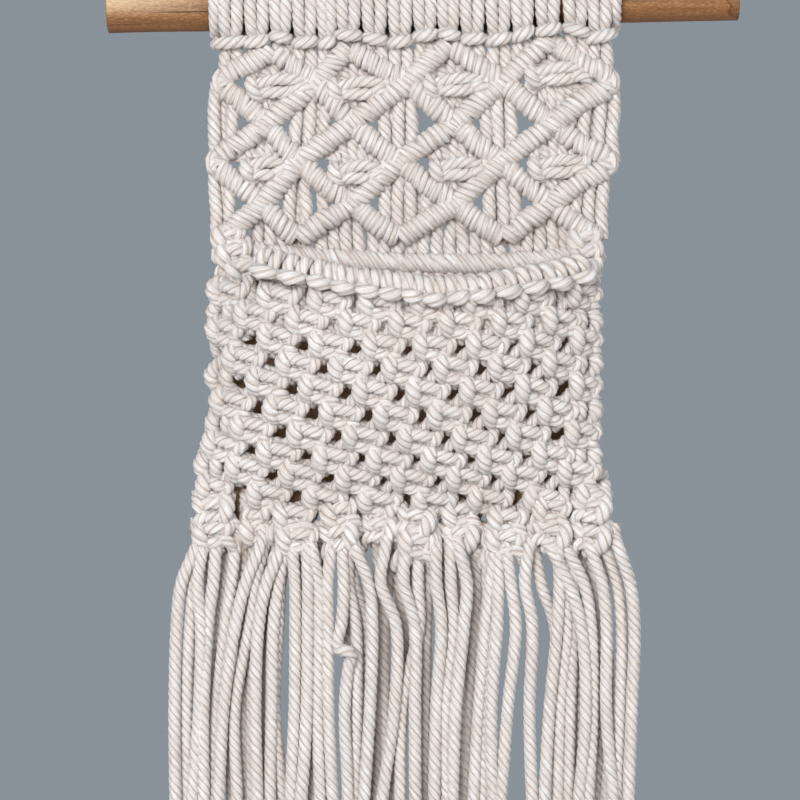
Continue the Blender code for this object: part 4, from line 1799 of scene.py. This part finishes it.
@dataclass
class PocketNet:
    """The pocket's front: rows of alternating square knots.

    Attributes:
        rows: For each row, its first hole across, the pitch of its holes, its height in the middle,
            and how much higher it is at the left and at the right.
        left_sides: The pocket's left side, as lowest heights and the place across above each of them.
        right_sides: The same for its right side.
        columns: The most knots in a row, those past its sides counted in.
        centre: The middle of the rows across.
        half_width: From there to where a row is higher by its full measure.
        near_side: Distance from a side within which a row is tied to it.
        wall: Room that a knot keeps to a side.
        half_knot: Half the pitch for which a knot's shape is made.
        least: The least half width of a knot, under which strands pass the row instead.
    """

    rows: tuple[tuple[float, float, float, float, float], ...] = (
        (-70.0, 20.8, -127.6, 6.2, 5.2),
        (-79.0, 20.8, -135.8, 6.6, 2.8),
        (-70.4, 21.3, -144.7, 7.6, 2.6),
        (-62.9, 21.6, -154.3, 6.2, 3.6),
        (-75.4, 21.9, -163.4, 8.2, 2.2),
        (-67.9, 22.3, -173.4, 6.6, 3.4),
        (-81.6, 22.6, -182.5, 6.4, 2.2),
        (-71.2, 22.6, -191.7, 6.2, 3.0),
        (-85.0, 22.9, -199.0, 5.2, 2.6),
        (-75.8, 22.9, -208.0, 4.2, 0.4),
    )
    left_sides: tuple[tuple[float, float], ...] = ((-150.0, -88.8), (-186.0, -89.8), (-math.inf, -94.6))
    right_sides: tuple[tuple[float, float], ...] = ((-195.0, 73.6), (-math.inf, 78.0))
    columns: int = 9
    centre: float = -8.0
    half_width: float = 80.0
    near_side: float = 16.0
    wall: float = 1.9
    half_knot: float = 10.65
    least: float = 5.0

    def build(self, dresser: Dresser, bowl: Bowl) -> None:
        """Makes the net.

        Args:
            dresser: What dresses it.
            bowl: The sheet that it lies in.
        """
        work = RopeWork("net_upper_knots", 51, NET_ROPE)
        for index, row in enumerate(self.rows):
            if index == len(self.rows) // 2:
                dresser.rope_piece(work, "pocket_front")
                work = RopeWork("net_lower_knots", 52, NET_ROPE)
            self.lay_row(work, bowl, row)
        dresser.rope_piece(work, "pocket_front")

    def lay_row(
        self, work: RopeWork, bowl: Bowl, row: tuple[float, float, float, float, float]
    ) -> None:
        """Lays one row of knots.

        Args:
            work: The piece that they go into.
            bowl: The sheet that they lie in.
            row: The row's own numbers.
        """
        first, pitch, height, left, right = row
        left_edge = next(edge for lowest, edge in self.left_sides if height > lowest)
        right_edge = next(edge for lowest, edge in self.right_sides if height > lowest)
        for column in range(self.columns):
            across = first + (column - 0.5) * pitch
            reach = min(pitch * 0.5, across - left_edge + 1.0, right_edge - across + 1.0)
            if reach >= self.least:
                across = min(max(across, left_edge + 7.5), right_edge - 7.5)
                reach = min(pitch * 0.5, across - left_edge + 1.0, right_edge - across + 1.0)
            side = (across - self.centre) / self.half_width
            edge = left_edge if side < 0 else right_edge
            level = height + (left if side < 0 else right) * side * side
            if min(across - left_edge, right_edge - across) < self.near_side:
                self.lay_tie(work, edge, level)
            if reach < self.least:
                if reach > -7.0:
                    self.lay_edge(work, bowl, edge, level)
                continue
            if row in self.rows[:2] and column:
                self.lay_filling(work, bowl, across - reach, level)
            spot = bowl.spot(across + work.jitter(0.3), level + 0.6 + work.jitter(0.3))
            knot = SquareKnot(
                wide=reach / self.half_knot,
                high=1.02,
                size=1.09 + work.jitter(0.03),
                lean=-0.27 + work.jitter(0.06),
                room=(left_edge + self.wall - across, right_edge - self.wall - across),
            )
            knot.lay(work, spot)

    def lay_filling(self, work: RopeWork, bowl: Bowl, across: float, height: float) -> None:
        """Lays the two strands that pass close together between two knots right under the mouth.

        Args:
            work: The piece that they go into.
            bowl: The sheet that they lie in.
            across: Their place across.
            height: Their middle's height.
        """
        spot = bowl.spot(across, height)
        for place in (-2.3, 2.3):
            work.lay(spot.path([
                (place * 1.6, 9.0, -1.5),
                (place + work.jitter(0.4), 3.0, -1.6),
                (place + work.jitter(0.4), -3.0, -1.8),
                (place * 1.8, -9.0, -2.4),
            ]))

    def lay_tie(self, work: RopeWork, edge: float, height: float) -> None:
        """Ties the pocket's side to the outermost strands behind it, with one loop round them.

        Args:
            work: The piece that it goes into.
            edge: Where the side is across.
            height: The row's height there.
        """
        inwards = -math.copysign(1.0, edge)
        rows = []
        for place, off, drop in (
            (10.0, 4.2, 0.5), (5.6, 3.8, 0.0), (3.4, 1.8, 0.6), (3.1, -1.2, 1.6), (4.6, -4.2, 2.6),
            (8.5, -4.9, 3.6), (12.0, -3.2, 4.4), (13.2, 0.0, 4.8),
        ):
            rows.append((edge + inwards * place, PANEL_Y - off, height - drop + work.jitter(0.3)))
        work.lay(rows, 0.94)

    def lay_edge(self, work: RopeWork, bowl: Bowl, edge: float, height: float) -> None:
        """Lays the two strands that pass a row of knots at the pocket's side.

        Args:
            work: The piece that they go into.
            bowl: The sheet that they lie in.
            edge: Where the side is across.
            height: The row's height there.
        """
        inwards = -math.copysign(1.0, edge)
        for place, bow, size in ((4.3, 1.6, 1.18), (9.4, 0.6, 1.0)):
            spot = bowl.spot(edge + inwards * place, height)
            work.lay(spot.path([
                (inwards * 1.5, 7.0, -2.5),
                (-inwards * bow * 0.6, 3.2, 0.6),
                (-inwards * bow, 0.0, 1.6, 1.2),
                (-inwards * bow * 0.6, -3.2, 0.6),
                (inwards * 1.5, -7.0, -2.5),
            ]), size)


@dataclass
class Fringe:
    """The joining knots and the loose ends under the pocket.

    Attributes:
        joins: For each pair of joining knots its middle, its width, how far it stands out, the heights of
            both knots, and how far they lean.
        levels: Heights at which each loose end is placed.
        front: For each loose end in front, how far it hangs off the panel, and its place at each level.
        rear: The same for those behind.
        kinked: The end with a small kink, as places across, heights and distances off the panel.
        bottom: Height of the lowest joining knots.
        end: Height at which the loose ends stop.
        mirrored: Share of the joining knots whose upright loop is on the right.
        knot_width: Width of a joining knot before it is scaled.
    """

    joins: tuple[tuple[float, float, float, float, float, float], ...] = (
        (-86.5, 19.5, 1.0, -211.5, -221.8, 0.10),
        (-69.0, 15.0, -3.0, -210.5, -220.5, 0.0),
        (-53.0, 20.0, 1.5, -214.6, -223.8, -0.10),
        (-34.8, 17.0, 1.0, -214.0, -223.2, 0.22),
        (-18.3, 17.0, -3.0, -210.0, -220.0, 0.0),
        (-2.7, 17.5, 1.2, -216.2, -226.0, -0.20),
        (16.3, 17.5, -1.8, -213.4, -223.2, 0.06),
        (34.0, 18.5, 1.6, -216.0, -225.2, -0.10),
        (52.5, 18.0, 0.8, -212.0, -221.8, -0.26),
        (69.6, 18.0, 0.6, -211.6, -223.2, -0.08),
    )
    levels: tuple[float, ...] = (-227.0, -241.0, -258.5, -293.0, -332.0)
    front: tuple[tuple[float, ...], ...] = (
        (9.5, -94.4, -100.2, -102.0, -102.8, -102.3),
        (7.0, -92.6, -95.1, -96.4, -97.8, -97.1),
        (9.5, -91.5, -93.3, -92.0, -92.6, -95.8),
        (9.0, -86.1, -87.1, -89.2, -90.9, -90.9),
        (5.0, -77.8, -79.5, -81.9, -85.4, -87.0),
        (9.0, -68.1, -73.6, -77.8, -82.6, -85.0),
        (6.0, -66.0, -68.8, -71.9, -77.8, -77.1),
        (9.5, -59.1, -64.7, -68.1, -69.5, -68.8),
        (7.0, -57.0, -59.8, -61.9, -62.9, -63.3),
        (5.0, -56.5, -59.1, -60.0, -61.9, -58.2),
        (9.0, -54.3, -52.9, -52.9, -53.3, -55.0),
        (9.5, -48.1, -47.6, -48.0, -48.2, -50.5),
        (9.0, -46.2, -43.6, -43.2, -43.6, -42.5),
        (9.0, -38.4, -39.4, -39.1, -39.1, -37.4),
        (6.0, -30.1, -30.8, -28.0, -27.3, -28.0),
        (9.5, -28.0, -22.8, -20.8, -21.8, -24.6),
        (9.5, -15.6, -17.7, -11.4, -12.1, -17.0),
        (9.0, -7.5, -7.9, -3.7, -3.4, -3.0),
        (6.5, -2.0, -2.3, -1.5, -8.6, -9.4),
        (9.5, 5.3, 5.6, 7.3, 5.3, 4.6),
        (8.5, 11.1, 11.5, 12.9, 9.4, 9.6),
        (9.5, 14.6, 18.0, 16.7, 13.6, 12.4),
        (8.5, 29.1, 28.0, 26.0, 22.9, 20.8),
        (9.5, 30.8, 31.2, 30.6, 28.1, 29.1),
        (6.0, 27.0, 27.0, 27.7, 25.6, 25.0),
        (9.0, 34.6, 36.4, 38.1, 35.0, 32.2),
        (9.5, 43.6, 41.9, 45.0, 44.0, 45.3),
        (4.5, 46.4, 49.1, 54.7, 56.5, 57.5),
        (9.0, 55.5, 56.4, 55.7, 52.6, 50.5),
        (10.0, 52.6, 60.2, 65.4, 67.1, 64.5),
        (8.0, 59.5, 66.4, 69.5, 70.4, 68.5),
        (6.5, 58.0, 59.0, 60.0, 57.0, 55.7),
        (6.5, 61.0, 62.0, 62.6, 61.2, 60.2),
        (9.5, 69.2, 73.7, 75.7, 75.7, 78.9),
        (6.5, 75.4, 80.2, 82.3, 81.4, 80.4),
        (9.5, 80.9, 85.8, 87.5, 86.5, 84.7),
    )
    rear: tuple[tuple[float, ...], ...] = (
        (1.5, -88.5, -88.5, -88.5, -88.0, -87.5),
        (0.5, -83.3, -84.0, -84.8, -85.0, -91.5),
        (2.0, -80.0, -82.0, -83.0, -82.0, -79.5),
        (1.0, -74.5, -74.3, -74.3, -75.0, -74.3),
        (2.0, -70.5, -71.0, -71.5, -71.5, -71.5),
        (1.0, -65.0, -66.0, -67.0, -67.0, -67.0),
        (2.0, -61.5, -62.0, -63.0, -63.5, -62.0),
        (1.0, -49.5, -50.0, -50.0, -50.5, -47.0),
        (2.0, -44.0, -45.0, -45.0, -45.5, -45.5),
        (1.0, -42.0, -41.0, -40.5, -41.0, -39.5),
        (2.0, -29.0, -28.5, -23.8, -24.2, -26.0),
        (0.5, -32.5, -31.5, -31.0, -30.0, -29.0),
        (1.0, -19.0, -18.0, -17.2, -18.0, -20.0),
        (2.0, -13.5, -14.5, -16.0, -16.0, -14.0),
        (1.0, -9.5, -10.0, -8.0, -10.5, -12.0),
        (2.0, 2.6, 2.3, 1.5, 0.8, 0.2),
        (0.5, -3.5, -4.0, -4.5, -1.5, 0.5),
        (1.0, 9.0, 9.5, 10.0, 11.5, 8.0),
        (2.0, 14.0, 14.5, 14.5, 16.0, 15.5),
        (2.0, 21.5, 22.6, 21.4, 18.8, 16.8),
        (1.0, 24.0, 24.5, 23.5, 20.5, 19.0),
        (2.0, 27.5, 27.0, 26.5, 27.0, 27.0),
        (0.5, 60.0, 59.0, 57.5, 58.5, 58.5),
        (2.0, 64.0, 63.5, 62.5, 64.5, 62.5),
        (1.0, 71.0, 71.2, 71.2, 71.5, 66.5),
        (2.0, 70.0, 70.6, 71.5, 73.3, 71.5),
        (0.5, 66.0, 66.5, 66.5, 67.5, 74.0),
        (1.0, 74.0, 75.0, 76.5, 77.5, 76.0),
    )
    kinked: tuple[tuple[float, float, float], ...] = (
        (-33.2, -219.0, 5.0),
        (-33.6, -227.0, 8.5),
        (-32.9, -241.0, 9.0),
        (-33.9, -258.5, 9.0),
        (-35.4, -264.5, 9.5),
        (-34.8, -268.6, 11.0),
        (-31.4, -269.0, 12.6),
        (-29.6, -271.4, 10.4),
        (-31.0, -276.5, 8.6),
        (-32.5, -293.0, 8.6),
        (-31.2, -332.0, 8.6),
        (-33.0, -393.0, 8.6),
    )
    bottom: float = -226.5
    end: float = -394.0
    mirrored: float = 0.4
    knot_width: float = 20.0

    def join_at(self, across: float) -> float:
        """Gives where a strand at a place across goes into the nearest joining knot."""
        nearest = min((join[0] for join in self.joins), key=lambda middle: abs(middle - across))
        return mix(nearest, across, 0.6)

    def build(self, dresser: Dresser) -> None:
        """Makes the joining knots and the loose ends.

        Args:
            dresser: What dresses them.
        """
        work = RopeWork("joining_knots", 61)
        for across, wide, off, upper, lower, lean in self.joins:
            for height in (upper, lower):
                place = across + work.jitter(0.8)
                spot = Spot.flat(place, height + work.jitter(0.4), 6.0 + off + work.jitter(0.4))
                is_mirrored = work.random.random() < self.mirrored
                knot = SquareKnot(
                    wide=wide / self.knot_width,
                    high=1.04,
                    mirrored=is_mirrored,
                    size=1.06,
                    lean=-lean if is_mirrored else lean,
                )
                knot.lay(work, spot)
        dresser.rope_piece(work, "fringe")
        loose = RopeWork("loose_ends", 62)
        for off, *places in (*self.front, *self.rear):
            self.lay_end(loose, off, places)
        loose.lay([(across, PANEL_Y - off, height) for across, height, off in self.kinked])
        dresser.rope_piece(loose, "fringe")

    def lay_end(self, work: RopeWork, off: float, places: Sequence[float]) -> None:
        """Lays one loose end, from behind its knot down.

        Args:
            work: The piece that it goes into.
            off: How far it hangs off the panel's middle.
            places: Where it is across at each of the levels.
        """
        start = places[0] - 0.3 * (places[1] - places[0])
        rows = [
            (start, PANEL_Y - 5.5, self.bottom + 10.0),
            (start, PANEL_Y - 3.0 - 0.3 * off, self.bottom + 5.0),
        ]
        for across, height in zip(places, self.levels):
            rows.append((across + work.jitter(0.25), PANEL_Y - off + work.jitter(0.7), height))
        tip = places[-1] + 0.5 * (places[-1] - places[-2])
        halfway = 0.5 * (self.end + self.levels[-1])
        rows.append((tip + work.jitter(1.0), PANEL_Y - off, halfway))
        rows.append((tip + work.jitter(2.0), PANEL_Y - off, self.end + work.jitter(4.0)))
        work.lay(rows, 1.01 + work.jitter(0.03))


@dataclass
class Studio:
    """Plain surroundings: floor, soft lights, camera and the air's colour. Its sizes are metres.

    Attributes:
        floor_height: Height of the floor.
        floor_radius: Radius of the floor.
        lens: The camera's focal length in millimetres.
        film: Width of its picture in the same.
        floor_colour: Colour of the floor.
        air: Colour of the air all round.
        daylight: Colour of the lamps.
        lamps: For each lamp its name, its place, its width and its power in watts.
        aim: What the lamps face.
    """

    floor_height: float = -0.9
    floor_radius: float = 1.6
    lens: float = 140.4
    film: float = 36.0
    floor_colour: Colour = linear(205, 205, 203)
    air: Colour = linear(137, 146, 153)
    daylight: Colour = (0.95, 0.98, 1.04)
    lamps: tuple[tuple[str, Point, float, float], ...] = (
        ("key", (-0.6, -1.62, 0.25), 1.0, 36.0),
        ("fill", (1.1, -1.3, 0.15), 1.5, 11.5),
        ("low", (0.0, -1.7, -0.9), 1.5, 0.6),
        ("behind", (0.5, 1.5, 0.4), 1.5, 24.0),
    )
    aim: Point = (0.0, 0.0, -0.17)

    def build(self) -> None:
        """Makes the surroundings."""
        self.lay_floor()
        for name, place, size, power in self.lamps:
            self.light(name, place, size, power)
        self.set_camera()
        self.colour_air()

    def lay_floor(self) -> None:
        """Lays a plain pale floor well under the hanging."""
        shape = bmesh.new()
        bmesh.ops.create_circle(shape, cap_ends=True, segments=64, radius=self.floor_radius)
        bmesh.ops.translate(shape, vec=(0.0, 0.0, self.floor_height), verts=shape.verts)
        mesh = mesh_of(shape, "floor")
        recipe = Recipe("pale_floor")
        recipe.fill(recipe.shader, Base_Color=(*self.floor_colour, 1.0), Roughness=0.8)
        mesh.materials.append(recipe.material)
        shown("floor", mesh)

    def light(self, name: str, place: Point, size: float, power: float) -> None:
        """Hangs one soft light that faces the hanging's middle.

        Args:
            name: Its name.
            place: Where it is, in metres.
            size: Its width in metres.
            power: Its power in watts.
        """
        data = bpy.data.lights.new(name, "AREA")
        data.shape = "DISK"
        data.size = size
        data.energy = power
        data.color = self.daylight
        lamp = shown(name, data)
        lamp.location = place
        towards = Vector(self.aim) - Vector(place)
        lamp.rotation_euler = towards.to_track_quat("-Z", "Y").to_euler()

    def set_camera(self) -> None:
        """Sets the camera level, square to the panel, at the photograph's distance."""
        data = bpy.data.cameras.new("camera")
        data.lens = self.lens
        data.sensor_width = self.film
        data.clip_end = 20.0
        camera = shown("camera", data)
        camera.location = (VIEW_CENTRE[0] * MM, (PANEL_Y - VIEW_DISTANCE) * MM, VIEW_CENTRE[1] * MM)
        camera.rotation_euler = (math.pi / 2, 0.0, 0.0)
        bpy.context.scene.camera = camera

    def colour_air(self) -> None:
        """Gives the world one plain colour."""
        world = bpy.data.worlds.new("air")
        world.use_nodes = True
        background = world.node_tree.nodes["Background"]
        background.inputs["Color"].default_value = (*self.air, 1.0)
        background.inputs["Strength"].default_value = 1.0
        bpy.context.scene.world = world


def main() -> None:
    """Builds the hanging and its surroundings."""
    logging.basicConfig(level=logging.INFO, format="%(name)s: %(message)s")
    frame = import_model()
    LOG.info("nodes of the frame: %s", ", ".join(sorted(frame["nodes"])))
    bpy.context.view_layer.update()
    bpy.context.scene.view_settings.view_transform = "Standard"
    dresser = Dresser(CottonRope().material(), OiledWood().material())
    panel = DiamondPanel()
    bowl = Bowl()
    Rod().build(dresser)
    Heading().build(dresser, lambda across: panel.bar_at(0, across))
    panel.build(dresser)
    fringe = Fringe()
    PocketBack().build(dresser, panel.rear_at, fringe.join_at)
    Lip().build(dresser, bowl)
    PocketNet().build(dresser, bowl)
    fringe.build(dresser)
    Studio().build()
    LOG.info("%.1f m of rope in all", dresser.rope_length)


if __name__ == "__main__":
    main()
